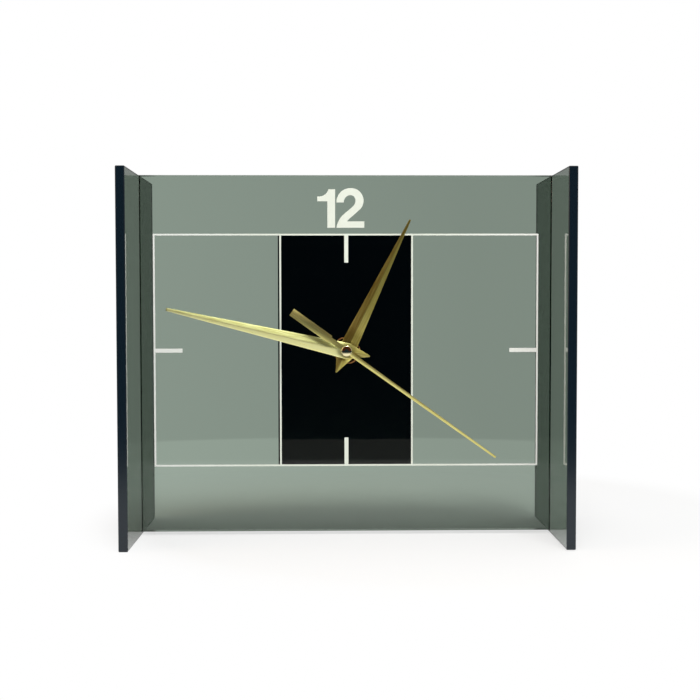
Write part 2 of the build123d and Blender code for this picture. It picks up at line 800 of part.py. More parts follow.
with BuildPart() as setting_knob:
    ribbed(knob_ribs, knob_radius - knob_rib_height, knob_radius, 0.0, knob_front, setting_at, knob_thickness)
    rod(setting_arbor_radius + seat_gap, knob_front, knob_back - case_wall, setting_at, Mode.SUBTRACT)
setting_knob.part.label = "setting_knob"
export_step(setting_knob.part, "parts/setting_knob.step")

# Hands: creased kites on collets, and a flat second hand under its domed boss
hour_collet_radius = hour_tube_radius + collet_rim
with BuildPart() as hour_hand:
    creased_hand(hour_length, hour_tail, hour_shoulder, hour_half_width, hour_tip, hour_tip, hour_angle,
                 hour_ridge, hour_collet_radius + seat_gap)
hour_hand.part.label = "hour_hand"
export_step(hour_hand.part, "parts/hour_hand.step")

with BuildPart() as hour_collet:
    rod(hour_collet_radius, hour_ridge, hour_collet_back)
    rod(hour_tube_radius + seat_gap, hour_ridge, hour_collet_back, mode=Mode.SUBTRACT)
hour_collet.part.label = "hour_collet"
export_step(hour_collet.part, "parts/hour_collet.step")

minute_collet_radius = minute_tube_radius + collet_rim
with BuildPart() as minute_hand:
    creased_hand(minute_length, minute_tail, minute_shoulder, minute_half_width, minute_tip, hour_tip,
                 minute_angle, minute_ridge, minute_collet_radius + seat_gap)
minute_hand.part.label = "minute_hand"
export_step(minute_hand.part, "parts/minute_hand.step")

with BuildPart() as minute_collet:
    rod(minute_collet_radius, minute_ridge, minute_collet_back)
    rod(minute_tube_radius + seat_gap, minute_ridge, minute_collet_back, mode=Mode.SUBTRACT)
minute_collet.part.label = "minute_collet"
export_step(minute_collet.part, "parts/minute_collet.step")

second_turn = 90.0 - second_angle
boss_stem = second_arbor_radius + boss_stem_wall
weight_middle = weight_length / 2 - weight_reach
neck_length = weight_reach - weight_length
with BuildPart() as second_hand:
    with BuildSketch(front(second_back, (0.0, 0.0), second_turn)) as strip:
        with BuildLine():
            Polyline(
                (0, -second_root / 2),
                (second_length, -second_tip / 2),
                (second_length, second_tip / 2),
                (0, second_root / 2),
                close=True,
            )
        make_face()
        with Locations((-neck_length / 2, 0)):
            Rectangle(neck_length, second_neck)
        with Locations((weight_middle, 0)):
            Rectangle(weight_length, weight_width)
        Circle(second_hub_radius)
        Circle(boss_stem + seat_gap, mode=Mode.SUBTRACT)
    extrude(strip.sketch, amount=hand_sheet)
second_hand.part.label = "second_hand"
export_step(second_hand.part, "parts/second_hand.step")

boss_front = second_front - boss_dome
boss_bore = second_arbor_radius + seat_gap
with BuildPart() as second_boss:
    turned([
        (0, boss_start),
        (boss_stem, boss_start),
        (boss_stem, second_front),
        (boss_radius, second_front),
        (boss_flat_share * boss_radius, boss_front),
        (0, boss_front),
    ])
    rod(boss_bore, second_arbor_end - seat_gap, boss_start, mode=Mode.SUBTRACT)
second_boss.part.label = "second_boss"
export_step(second_boss.part, "parts/second_boss.step")
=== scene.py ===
import math

import bmesh
import bpy
from mathutils import Matrix, Vector


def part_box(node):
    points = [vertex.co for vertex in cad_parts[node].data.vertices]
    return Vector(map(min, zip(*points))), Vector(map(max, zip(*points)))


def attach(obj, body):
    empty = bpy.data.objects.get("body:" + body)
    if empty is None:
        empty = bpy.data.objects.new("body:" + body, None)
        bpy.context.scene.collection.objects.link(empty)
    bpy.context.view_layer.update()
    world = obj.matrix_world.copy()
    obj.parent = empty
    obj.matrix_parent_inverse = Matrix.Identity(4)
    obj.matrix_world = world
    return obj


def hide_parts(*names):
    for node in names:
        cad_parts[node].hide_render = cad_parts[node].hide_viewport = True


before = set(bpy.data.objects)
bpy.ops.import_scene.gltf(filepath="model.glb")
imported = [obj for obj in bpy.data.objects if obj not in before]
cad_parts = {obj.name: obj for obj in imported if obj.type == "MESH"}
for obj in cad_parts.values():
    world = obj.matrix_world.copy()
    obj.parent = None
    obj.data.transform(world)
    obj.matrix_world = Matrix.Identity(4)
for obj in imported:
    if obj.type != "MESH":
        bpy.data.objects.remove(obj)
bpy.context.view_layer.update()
print("frame loaded,", len(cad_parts), "nodes")

mm = 0.001
bounced = 0.5   # a ray's bounce count above this means that it has bounced
scene = bpy.context.scene
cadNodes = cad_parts
bossLow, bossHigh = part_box("second_boss")
hub = Vector((0, 0, (bossLow.z + bossHigh.z) / 2))   # every arbor on the hub runs along Y through here


def linear(code):
    # sRGB hex to the linear numbers that sockets take
    parts = [int(code[i:i + 2], 16) / 255 for i in (1, 3, 5)]
    return (*(p / 12.92 if p <= 0.04045 else ((p + 0.055) / 1.055) ** 2.4 for p in parts), 1.0)


def addNode(tree, kind, inputs=None, **settings):
    # an input takes a value, a socket, a node, which stands for its first open output, or a list of nodes
    node = tree.nodes.new(kind)
    for name, value in settings.items():
        setattr(node, name, value)
    for socket, given in (inputs or {}).items():
        for source in given if isinstance(given, list) else [given]:
            if isinstance(source, bpy.types.Node):
                source = next(output for output in source.outputs if output.enabled)
            if isinstance(source, bpy.types.NodeSocket):
                tree.links.new(source, node.inputs[socket])
            else:
                node.inputs[socket].default_value = source
    return node


def fillRamp(node, stops):
    elements = node.color_ramp.elements
    while len(elements) < len(stops):
        elements.new(1.0)
    for element, (position, code) in zip(elements, stops):
        element.position = position
        element.color = linear(code)


def startMaterial(name):
    material = bpy.data.materials.new(name)
    material.use_nodes = True
    material.node_tree.nodes.clear()
    return material, material.node_tree


def endMaterial(tree, shader, **others):
    addNode(tree, "ShaderNodeOutputMaterial", {"Surface": shader, **others})


def endSurface(tree, look, cloud, texture, depth, **fixed):
    # tone, and roughness where it varies, follow the cloud; the relief follows the texture
    tone = addNode(tree, "ShaderNodeMix", {0: cloud, 6: linear(look["deep"]), 7: linear(look["light"])},
        data_type="RGBA")
    rough = look["roughness"]
    if "spread" in look:
        rough = addNode(tree, "ShaderNodeMapRange", {
            "Value": cloud, "To Min": rough - look["spread"], "To Max": rough + look["spread"]})
    relief = addNode(tree, "ShaderNodeBump",
        {"Height": texture, "Strength": look["relief"], "Distance": depth * mm})
    shader = addNode(tree, "ShaderNodeBsdfPrincipled",
        {"Base Color": tone, "Roughness": rough, "Normal": relief, **fixed})
    endMaterial(tree, shader)


def perMetre(sizeInMm):
    # noise scale whose features are about this many millimetres wide
    return 1000 / sizeInMm


# Smoked acrylic sheet, cast: clear as glass, grey-green through its thickness, cut edges scraped to a satin
acrylicLook = {"tint": "#89a58e", "density": 360.0, "ior": 1.49, "edgeHazeAndReflection": "#0c1b25", "hazeShare": 0.9,
    "hazeSize": 45.0, "hazeFrom": 0.45, "hazeTo": 0.75, "hazeMost": 0.012, "cutFrom": 43.45,
    "cutTop": 180.45, "cutRoughness": 0.36, "edgeRoughness": 0.18}
smokedAcrylic, tree = startMaterial("smoked acrylic")
place = addNode(tree, "ShaderNodeTexCoord").outputs["Object"]
haze = addNode(tree, "ShaderNodeTexNoise",
    {"Vector": place, "Scale": perMetre(acrylicLook["hazeSize"]), "Detail": 4.0})
wiped = addNode(tree, "ShaderNodeMapRange", {
    "Value": haze, "From Min": acrylicLook["hazeFrom"], "From Max": acrylicLook["hazeTo"],
    "To Max": acrylicLook["hazeMost"]})
spot = addNode(tree, "ShaderNodeSeparateXYZ", {0: place}).outputs
depth = addNode(tree, "ShaderNodeMath", {0: spot["Y"]}, operation="ABSOLUTE")
cutSide = addNode(tree, "ShaderNodeMath", {0: depth, 1: acrylicLook["cutFrom"] * mm},
    operation="GREATER_THAN")
cutTop = addNode(tree, "ShaderNodeMath", {0: spot["Z"], 1: acrylicLook["cutTop"] * mm},
    operation="GREATER_THAN")
cut = addNode(tree, "ShaderNodeMath", {0: cutSide, 1: cutTop}, operation="MAXIMUM")
rough = addNode(tree, "ShaderNodeMix", {0: cut, 2: wiped, 3: acrylicLook["cutRoughness"]})
# the upright edges are polished over; their navy tone is partly the saw's haze and partly a painted
# reflection of a cold blue light
rough = addNode(tree, "ShaderNodeMix", {0: cutSide, 2: rough, 3: acrylicLook["edgeRoughness"]})
hazeAndReflectionTint = addNode(tree, "ShaderNodeMix", {0: cutSide, 6: (1, 1, 1, 1), 7: linear(acrylicLook["edgeHazeAndReflection"])},
    data_type="RGBA")
clear = addNode(tree, "ShaderNodeMath", {0: cutSide, 1: -acrylicLook["hazeShare"], 2: 1.0},
    operation="MULTIPLY_ADD")
shader = addNode(tree, "ShaderNodeBsdfPrincipled", {
    "Base Color": hazeAndReflectionTint, "Roughness": rough, "Transmission Weight": clear, "IOR": acrylicLook["ior"]})
smoke = addNode(tree, "ShaderNodeVolumeAbsorption",
    {"Color": linear(acrylicLook["tint"]), "Density": acrylicLook["density"]})
endMaterial(tree, shader, Volume=smoke)

# White epoxy ink, screen printed: matt, with the faint mesh of the screen in its thickness
inkLook = {"white": "#e8efe3", "thin": "#dfe6d9", "thick": "#fdfffa", "sideLightFrom": 45.0, "sideLightTo": 95.0,
    "meshSize": 0.35, "cloudSize": 6.0, "relief": 0.12, "reliefDepth": 0.02, "roughness": 0.5, "ior": 1.5}
whiteInk, tree = startMaterial("white screen ink")
place = addNode(tree, "ShaderNodeTexCoord").outputs["Object"]
cloud = addNode(tree, "ShaderNodeTexNoise",
    {"Vector": place, "Scale": perMetre(inkLook["cloudSize"]), "Detail": 3.0})
tone = addNode(tree, "ShaderNodeMix", {0: cloud, 6: linear(inkLook["thin"]), 7: linear(inkLook["white"])},
    data_type="RGBA")
# painted light: towards both sides the ink takes the whiter thick tone, against the shade that the side
# panels cast on it
spot = addNode(tree, "ShaderNodeSeparateXYZ", {0: place}).outputs
aside = addNode(tree, "ShaderNodeMath", {0: spot["X"]}, operation="ABSOLUTE")
paintedSideLight = addNode(tree, "ShaderNodeMapRange", {
    "Value": aside, "From Min": inkLook["sideLightFrom"] * mm, "From Max": inkLook["sideLightTo"] * mm})
tone = addNode(tree, "ShaderNodeMix", {0: paintedSideLight, 6: tone, 7: linear(inkLook["thick"])},
    data_type="RGBA")
grid = addNode(tree, "ShaderNodeTexVoronoi", {"Vector": place, "Scale": perMetre(inkLook["meshSize"])})
relief = addNode(tree, "ShaderNodeBump", {
    "Height": grid, "Strength": inkLook["relief"], "Distance": inkLook["reliefDepth"] * mm})
shader = addNode(tree, "ShaderNodeBsdfPrincipled", {
    "Base Color": tone, "Roughness": inkLook["roughness"], "Normal": relief, "IOR": inkLook["ior"]})
endMaterial(tree, shader)

# Black polystyrene sheet: dense black with a soft gloss and the faint ripple of calendered sheet
styreneLook = {"light": "#0d0e10", "deep": "#070809", "rippleSize": 9.0, "roughness": 0.28, "relief": 0.05,
    "reliefDepth": 0.05, "ior": 1.59}
blackStyrene, tree = startMaterial("black polystyrene sheet")
place = addNode(tree, "ShaderNodeTexCoord").outputs["Object"]
ripple = addNode(tree, "ShaderNodeTexNoise",
    {"Vector": place, "Scale": perMetre(styreneLook["rippleSize"]), "Detail": 2.0})
endSurface(tree, styreneLook, ripple, ripple, styreneLook["reliefDepth"], IOR=styreneLook["ior"])


def creasedTone(tree, grainMap, streaks, tone, fold):
    # painted light and shade on a creased hand: on its far side, on its fold line and in tones along it
    spot = addNode(tree, "ShaderNodeSeparateXYZ", {0: grainMap}).outputs
    # painted light: a lit or shaded copy of the tone for the far side of the crease
    paintedFacetTone = addNode(tree, "ShaderNodeMix",
        {0: streaks, 6: linear(fold["farDeep"]), 7: linear(fold["farLight"])}, data_type="RGBA")
    farSide = addNode(tree, "ShaderNodeMapRange",
        {"Value": spot["Y"], "From Min": -fold["width"], "From Max": fold["width"]})
    tone = addNode(tree, "ShaderNodeMix", {0: farSide, 6: tone, 7: paintedFacetTone}, data_type="RGBA")
    # painted shade: tones multiplied along the hand, darker at its root or tail and, on the hour hand,
    # towards its tip
    start, end = fold["shades"][0][0], fold["shades"][-1][0]
    along = addNode(tree, "ShaderNodeMapRange", {"Value": spot["X"], "From Min": start, "From Max": end})
    shade = addNode(tree, "ShaderNodeValToRGB", {0: along})
    fillRamp(shade, [((reach - start) / (end - start), code) for reach, code in fold["shades"]])
    tone = addNode(tree, "ShaderNodeMix", {0: 1.0, 6: tone, 7: shade}, data_type="RGBA",
        blend_type="MULTIPLY")
    # the fold line takes a painted tone for the light on its bend
    offFold = addNode(tree, "ShaderNodeMath", {0: spot["Y"]}, operation="ABSOLUTE")
    inFold = addNode(tree, "ShaderNodeMapRange",
        {"Value": offFold, "From Max": fold["width"], "To Min": 1.0, "To Max": 0.0},
        interpolation_type="SMOOTHSTEP")
    onBlade = addNode(tree, "ShaderNodeMapRange",
        {"Value": spot["X"], "From Min": fold["from"], "From Max": 2 * fold["from"]})
    inFold = addNode(tree, "ShaderNodeMath", {0: inFold, 1: onBlade}, operation="MULTIPLY")
    tone = addNode(tree, "ShaderNodeMix", {0: inFold, 6: tone, 7: linear(fold["tone"])}, data_type="RGBA")
    return tone, farSide


brushMarks = {"from": 0.32, "to": 0.68, "relief": 0.25, "reliefDepth": 0.01, "turn": 0.25}


def brushedMetal(name, look):
    # sheet brushed along the hand: the grain follows the hand's own map, in millimetres, and is drawn coarser
    # than a real brush leaves it, so that it shows
    material, tree = startMaterial(name)
    grainMap = addNode(tree, "ShaderNodeUVMap", uv_map="brushMap")
    stretch = addNode(tree, "ShaderNodeMapping",
        {"Vector": grainMap, "Scale": (1 / look["grainLength"], 1 / look["grainWidth"], 1)})
    grain = addNode(tree, "ShaderNodeTexNoise",
        {"Vector": stretch, "Scale": 1.0, "Detail": 4.0, "Roughness": 0.6})
    streaks = addNode(tree, "ShaderNodeMapRange",
        {"Value": grain, "From Min": brushMarks["from"], "From Max": brushMarks["to"]})
    tone = addNode(tree, "ShaderNodeMix", {0: streaks, 6: linear(look["deep"]), 7: linear(look["light"])},
        data_type="RGBA")
    rough = addNode(tree, "ShaderNodeMapRange", {
        "Value": grain, "To Min": look["roughness"] - look["spread"],
        "To Max": look["roughness"] + look["spread"]})
    if "fold" in look:
        tone, farSide = creasedTone(tree, grainMap, streaks, tone, look["fold"])
        rougher = look["fold"]["farRoughness"] - look["roughness"]
        rough = addNode(tree, "ShaderNodeMath", {0: farSide, 1: rougher, 2: rough},
            operation="MULTIPLY_ADD")
    relief = addNode(tree, "ShaderNodeBump", {
        "Height": grain, "Strength": brushMarks["relief"], "Distance": brushMarks["reliefDepth"] * mm})
    along = addNode(tree, "ShaderNodeTangent", direction_type="UV_MAP", uv_map="brushMap")
    shader = addNode(tree, "ShaderNodeBsdfPrincipled", {
        "Base Color": tone, "Roughness": rough, "Normal": relief, "Tangent": along, "Metallic": 1.0,
        "Anisotropic": look["stretch"], "Anisotropic Rotation": brushMarks["turn"]})
    endMaterial(tree, shader)
    return material


# Brass sheet, brushed and lacquered: pale, with a painted highlight on the far side of the crease and painted
# shade on its tail
brushedBrass = brushedMetal("brushed brass sheet", {
    "light": "#e8edaa", "deep": "#c4c172", "grainWidth": 0.45, "grainLength": 9.0, "roughness": 0.44,
    "stretch": 0.75, "spread": 0.08, "fold": {
        "farLight": "#ffffbe", "farDeep": "#fff8a6", "farRoughness": 0.30, "tone": "#f2eca4", "width": 0.3,
        "from": 9.0,
        "shades": [(-12.0, "#d0c4a4"), (-2.5, "#d0c4a4"), (4.0, "#ffffff"), (91.8, "#ffffff")]}})
# The hour hand's sheet: painted shade on the far side of its crease, at its root and towards its tip
shadedHourBrass = brushedMetal("hour hand brass with painted shade", {
    "light": "#fff796", "deep": "#ebd568", "grainWidth": 0.6, "grainLength": 14.0, "roughness": 0.42,
    "stretch": 0.75, "spread": 0.08, "fold": {
        "farLight": "#cabd6e", "farDeep": "#94803d", "farRoughness": 0.42, "tone": "#b0a456", "width": 0.3,
        "from": 9.0,
        "shades": [(-12.0, "#ffffff"), (-4.0, "#ffffff"), (5.0, "#d2cec2"), (8.5, "#d2cec2"),
            (12.5, "#ffffff"), (26.0, "#e9e9de"), (72.5, "#e9e9de")]}})
# Brass strip of the second hand: the same brass, brushed finer, so deeper in tone
brassStrip = brushedMetal("fine-brushed brass strip", {
    "light": "#f4ee9c", "deep": "#cdbe68", "grainWidth": 0.2, "grainLength": 12.0, "roughness": 0.32,
    "stretch": 0.75, "spread": 0.06})


def turnedMetal(name, look):
    # bar turned on a lathe: fine rings round the hub catch the light
    material, tree = startMaterial(name)
    place = addNode(tree, "ShaderNodeTexCoord").outputs["Object"]
    centred = addNode(tree, "ShaderNodeMapping", {"Vector": place, "Location": -hub})
    ringScale = math.pi / 10 * perMetre(look["ringPitch"])
    rings = addNode(tree, "ShaderNodeTexWave",
        {"Vector": centred, "Scale": ringScale, "Distortion": 0.6, "Detail": 2.0},
        wave_type="RINGS", rings_direction="Y")
    stain = addNode(tree, "ShaderNodeTexNoise",
        {"Vector": place, "Scale": perMetre(look["stainSize"]), "Detail": 4.0})
    endSurface(tree, look, stain, rings.outputs["Fac"], depth=0.02, Metallic=1.0)
    return material


# Polished brass of the boss: a mirror with a warm cast
polishedBrass = turnedMetal("polished brass", {
    "light": "#f6ecc4", "deep": "#eedfa8", "ringPitch": 0.4, "stainSize": 3.0, "roughness": 0.06,
    "relief": 0.02})
# Turned brass of nut, washer and collets: browner, with the tool's rings
turnedBrass = turnedMetal("turned brass", {
    "light": "#9c6f42", "deep": "#70492a", "ringPitch": 0.35, "stainSize": 2.5, "roughness": 0.24,
    "relief": 0.25})


def mouldedPlastic(name, look):
    # injection moulding with a spark-eroded grain
    material, tree = startMaterial(name)
    place = addNode(tree, "ShaderNodeTexCoord").outputs["Object"]
    spark, flow = [
        addNode(tree, "ShaderNodeTexNoise", {"Vector": place, "Scale": perMetre(look[size]), "Detail": 3.0})
        for size in ("grainSize", "flowSize")]
    endSurface(tree, look, flow, spark, depth=0.05, IOR=look["ior"])
    return material


# Black ABS of case, cover and knob: satin black, grain 0.4 mm so that it shows
caseAbs = mouldedPlastic("black moulded ABS", {
    "light": "#2d2e31", "deep": "#212225", "grainSize": 0.4, "flowSize": 18.0, "roughness": 0.46,
    "spread": 0.07, "relief": 0.35, "ior": 1.53})
# Acetal of the wheels: milky white, slightly waxy
wheelAcetal = mouldedPlastic("white acetal", {
    "light": "#f0eee4", "deep": "#e2dfd2", "grainSize": 0.5, "flowSize": 6.0, "roughness": 0.36,
    "spread": 0.05, "relief": 0.08, "ior": 1.48})
# Nitrile rubber of the gasket: dull black
gasketRubber = mouldedPlastic("black nitrile rubber", {
    "light": "#191919", "deep": "#0f0f0f", "grainSize": 0.3, "flowSize": 4.0, "roughness": 0.78,
    "spread": 0.08, "relief": 0.4, "ior": 1.52})
# Phenolic paper laminate of the board: brown, with the flecks of its paper
boardLaminate = mouldedPlastic("phenolic laminate", {
    "light": "#8a6030", "deep": "#6b4722", "grainSize": 0.25, "flowSize": 1.2, "roughness": 0.42,
    "spread": 0.08, "relief": 0.15, "ior": 1.55})
# Epoxy over the chip: black and glossy
chipResin = mouldedPlastic("black epoxy", {
    "light": "#0d0d0e", "deep": "#070707", "grainSize": 1.2, "flowSize": 3.0, "roughness": 0.14,
    "spread": 0.05, "relief": 0.1, "ior": 1.55})
# Ferrite magnet: dark grey, sintered
ferrite = mouldedPlastic("sintered ferrite", {
    "light": "#3a3a3d", "deep": "#2a2a2c", "grainSize": 0.2, "flowSize": 1.0, "roughness": 0.6,
    "spread": 0.1, "relief": 0.3, "ior": 2.2})


def platedMetal(name, look):
    # sheet metal with rolling lines along one axis
    material, tree = startMaterial(name)
    place = addNode(tree, "ShaderNodeTexCoord").outputs["Object"]
    drawn = addNode(tree, "ShaderNodeMapping", {"Vector": place, "Scale": look["lines"]})
    lines = addNode(tree, "ShaderNodeTexNoise",
        {"Vector": drawn, "Scale": perMetre(look["lineWidth"]), "Detail": 3.0})
    endSurface(tree, look, lines, lines, depth=0.02, Metallic=1.0)
    return material


# Nickel-plated steel of contacts, stator, core and crystal can: grey mirror gone satin
nickelSteel = platedMetal("nickel-plated steel", {
    "light": "#d4d1c9", "deep": "#b9b6ae", "lines": (1.0, 1.0, 0.08), "lineWidth": 0.3, "roughness": 0.27,
    "spread": 0.07, "relief": 0.1})
# Enamelled copper wire, wound side by side: lines 0.3 mm apart, coarser than the wire so that they show
copperWire = platedMetal("enamelled copper wire", {
    "light": "#c8743c", "deep": "#8f4a22", "lines": (1.0, 0.05, 0.05), "lineWidth": 0.3, "roughness": 0.3,
    "spread": 0.08, "relief": 0.6})
# Lacquered film round the steel can of the cell: graphite, glossy, and copper at the positive end
filmLook = {"lines": (0.2, 1.0, 1.0), "lineWidth": 1.5, "roughness": 0.25, "spread": 0.04, "relief": 0.03}
cellFilm = platedMetal("lacquered cell jacket", {"light": "#3a3f46", "deep": "#2f343b", **filmLook})
cellBand = platedMetal("copper-lacquered cell jacket", {"light": "#c07f4a", "deep": "#a96c3c", **filmLook})

finishes = {}
for slotName, finish, names in (
        ("smoked_acrylic", smokedAcrylic, ["left_side_panel", "right_side_panel", "face_panel"]),
        ("white_ink", whiteInk, ["dial_print", "numeral_one", "numeral_two"]),
        ("black_styrene", blackStyrene, ["backing_sheet"]),
        ("gold_brass", brushedBrass, ["hour_hand", "minute_hand", "second_hand"]),
        ("polished_brass", polishedBrass, ["second_boss"]),
        ("turned_brass", turnedBrass, ["mounting_nut", "dial_washer", "hour_collet", "minute_collet"]),
        ("gasket_rubber", gasketRubber, ["gasket"]),
        ("case_plastic", caseAbs, ["movement_case", "rear_cover", "setting_knob", "train_bridge",
            "coil_bobbin"]),
        ("wheel_plastic", wheelAcetal, ["third_wheel", "second_wheel", "intermediate_wheel", "centre_wheel",
            "minute_tube", "motion_wheel", "hour_wheel", "setting_arbor"]),
        ("board_laminate", boardLaminate, ["circuit_board"]),
        ("resin", chipResin, ["chip"]),
        ("nickel_steel", nickelSteel, ["stator", "coil_core", "positive_contact", "negative_contact",
            "quartz_crystal"]),
        ("copper_wire", copperWire, ["coil_winding"]),
        ("magnet", ferrite, ["rotor"]),
        ("cell_jacket", cellFilm, ["cell"])):
    finishes[slotName] = finish
    for name in names:
        mesh = cadNodes[name].data
        mesh.materials.clear()
        mesh.materials.append(finish)
print("finishes on the CAD nodes:", len(finishes))


def newObject(name, bm):
    mesh = bpy.data.meshes.new(name)
    bm.to_mesh(mesh)
    bm.free()
    thing = bpy.data.objects.new(name, mesh)
    scene.collection.objects.link(thing)
    return thing


def settle(thing):
    # the modifiers' result becomes the object's plain mesh
    bpy.context.view_layer.update()
    graph = bpy.context.evaluated_depsgraph_get()
    mesh = bpy.data.meshes.new_from_object(thing.evaluated_get(graph))
    thing.modifiers.clear()
    thing.data = mesh
    mesh.name = thing.name
    return thing


def boxObject(name, low, high):
    bm = bmesh.new()
    middle = (Vector(low) + Vector(high)) / 2
    size = Vector(high) - Vector(low)
    bmesh.ops.create_cube(bm, size=1.0, matrix=Matrix.Translation(middle) @ Matrix.Diagonal((*size, 1)))
    return newObject(name, bm)


def rodObject(name, radius, start, end, sides=64):
    # round bar on the hub, along the depth
    bm = bmesh.new()
    middle = hub + Vector((0, (start + end) / 2, 0))
    bmesh.ops.create_cone(bm, cap_ends=True, segments=sides, radius1=radius, radius2=radius,
        depth=abs(end - start),
        matrix=Matrix.Translation(middle) @ Matrix.Rotation(math.pi / 2, 4, "X"))
    return newObject(name, bm)


def prism(bm, outline, low, high):
    # flat form between two depths, from (x, z) corners
    front, back = [[bm.verts.new((x, depth, z)) for x, z in outline] for depth in (low, high)]
    bm.faces.new(front)
    bm.faces.new(back[::-1])
    for i in range(len(outline)):
        j = (i + 1) % len(outline)
        bm.faces.new((front[j], front[i], back[i], back[j]))


def lathed(name, profile, sides=96, stand=None):
    # profile of (radius, depth) in metres, or of functions that give both for an angle, turned about the
    # depth axis of the stand, which is the hub if none is given; both ends lie on the axis, or it closes
    bm = bmesh.new()
    stand = stand or Matrix.Translation(hub)
    rings = []
    for entry in profile:
        if not callable(entry) and entry[0] == 0:
            rings.append([bm.verts.new(stand @ Vector((0, entry[1], 0)))])
            continue
        ring = []
        for i in range(sides):
            spin = 2 * math.pi * i / sides
            radius, depth = entry(spin) if callable(entry) else entry
            spot = Vector((radius * math.cos(spin), depth, radius * math.sin(spin)))
            ring.append(bm.verts.new(stand @ spot))
        rings.append(ring)
    closed = len(rings[0]) > 1
    pairs = list(zip(rings, rings[1:])) + ([(rings[-1], rings[0])] if closed else [])
    for one, two in pairs:
        for i in range(sides):
            j = (i + 1) % sides
            corners = [one[i % len(one)], one[j % len(one)], two[j % len(two)], two[i % len(two)]]
            bm.faces.new(list(dict.fromkeys(corners)))
    bmesh.ops.recalc_face_normals(bm, faces=bm.faces)
    return newObject(name, bm)


def cleanMesh(bm):
    # one vertex per corner, one face per flat
    bmesh.ops.remove_doubles(bm, verts=bm.verts, dist=1e-6)
    bmesh.ops.dissolve_limit(bm, angle_limit=math.radians(1), verts=bm.verts, edges=bm.edges)


def combine(thing, other, operation):
    step = thing.modifiers.new(operation.lower(), "BOOLEAN")
    step.operation = operation
    step.solver = "EXACT"
    step.object = other
    settle(thing)
    bpy.data.objects.remove(other)


def softenEdges(thing, width, angle=50):
    step = thing.modifiers.new("soft edges", "BEVEL")
    step.width = width
    step.segments = 2
    step.limit_method = "ANGLE"
    step.angle_limit = math.radians(angle)
    step.use_clamp_overlap = True
    settle(thing)


def smoothBy(thing, angle):
    for face in thing.data.polygons:
        face.use_smooth = True
    thing.data.set_sharp_from_angle(angle=math.radians(angle))


def dress(thing, slotName, body, *nodeNames, finish=None):
    # finish, body and the CAD nodes that the piece stands for
    thing.data.materials.clear()
    thing.data.materials.append(finish or finishes[slotName])
    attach(thing, body)
    if nodeNames:
        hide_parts(*nodeNames)
    print(thing.name, len(thing.data.polygons), "faces")


def startGroup(name, floats, others):
    # a geometry node group, the keys of its inputs and their sockets
    tree = bpy.data.node_groups.new(name, "GeometryNodeTree")
    keys = {}
    for socket, kind in {**dict.fromkeys(floats, "NodeSocketFloat"), **others}.items():
        item = tree.interface.new_socket(socket, in_out="INPUT", socket_type=kind)
        keys[socket] = item.identifier
    tree.interface.new_socket("Geometry", in_out="OUTPUT", socket_type="NodeSocketGeometry")
    return tree, keys, tree.nodes.new("NodeGroupInput").outputs


def endGroup(tree, shape, place, turn, finish):
    placed = addNode(tree, "GeometryNodeTransform",
        {"Geometry": shape, "Translation": place, "Rotation": turn})
    real = addNode(tree, "GeometryNodeRealizeInstances", {"Geometry": placed})
    painted = addNode(tree, "GeometryNodeSetMaterial", {"Geometry": real, "Material": finish})
    addNode(tree, "NodeGroupOutput", {0: painted})


def runGroup(name, tree, keys, values):
    # a new object with the group's result as its mesh
    thing = newObject(name, bmesh.new())
    step = thing.modifiers.new(name, "NODES")
    step.node_group = tree
    for socket, value in values.items():
        step[keys[socket]] = value
    return settle(thing)


# Acrylic body: three panels glued without a seam, edges polished round
acrylicBody = {"edge": 0.5, "glue": 0.25, "airGap": 0.02, "segments": 3, "corner": 30.0, "holeSides": 64,
    "bushPlay": 4.2}
leftLow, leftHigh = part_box("left_side_panel")
rightLow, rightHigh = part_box("right_side_panel")
faceLow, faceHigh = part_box("face_panel")
panels = boxObject("acrylicPanels", leftLow, leftHigh)
combine(panels, boxObject("rightPanel", rightLow, rightHigh), "UNION")
# the face reaches into both sides, and keeps just clear of the print and the black sheet
overlap = Vector(((leftHigh.x - leftLow.x) / 2, -acrylicBody["airGap"] * mm, 0))
combine(panels, boxObject("facePanel", faceLow - overlap, faceHigh + overlap), "UNION")
bm = bmesh.new()
bm.from_mesh(panels.data)
cleanMesh(bm)
weight = bm.edges.layers.float.new("bevel_weight_edge")
for edge in bm.edges:
    if edge.calc_face_angle(0.0) > math.radians(acrylicBody["corner"]):
        edge[weight] = 1.0 if edge.is_convex else acrylicBody["glue"] / acrylicBody["edge"]
bm.to_mesh(panels.data)
bm.free()
step = panels.modifiers.new("polished edges", "BEVEL")
step.width = acrylicBody["edge"] * mm
step.segments = acrylicBody["segments"]
step.limit_method = "WEIGHT"
settle(panels)
bushHole = rodObject("bushHole", acrylicBody["bushPlay"] * mm, faceLow.y - mm, faceHigh.y + mm,
    acrylicBody["holeSides"])
combine(panels, bushHole, "DIFFERENCE")
dress(panels, "smoked_acrylic", "clock_body", "left_side_panel", "right_side_panel", "face_panel")

# Creased hands: one rule for both, drawn by Geometry Nodes
handGrid = {"along": 121, "across": 21, "corner": -0.3, "seam": 1e-4, "flatEnd": 1.5, "boreSides": 64,
    "drill": 0.02, "weld": 1e-7}
handLengths = ("length", "tail", "shoulder", "halfWidth", "halfTip", "halfTail", "foldRadius", "sheet",
    "hubRadius", "hubLevel", "bore")


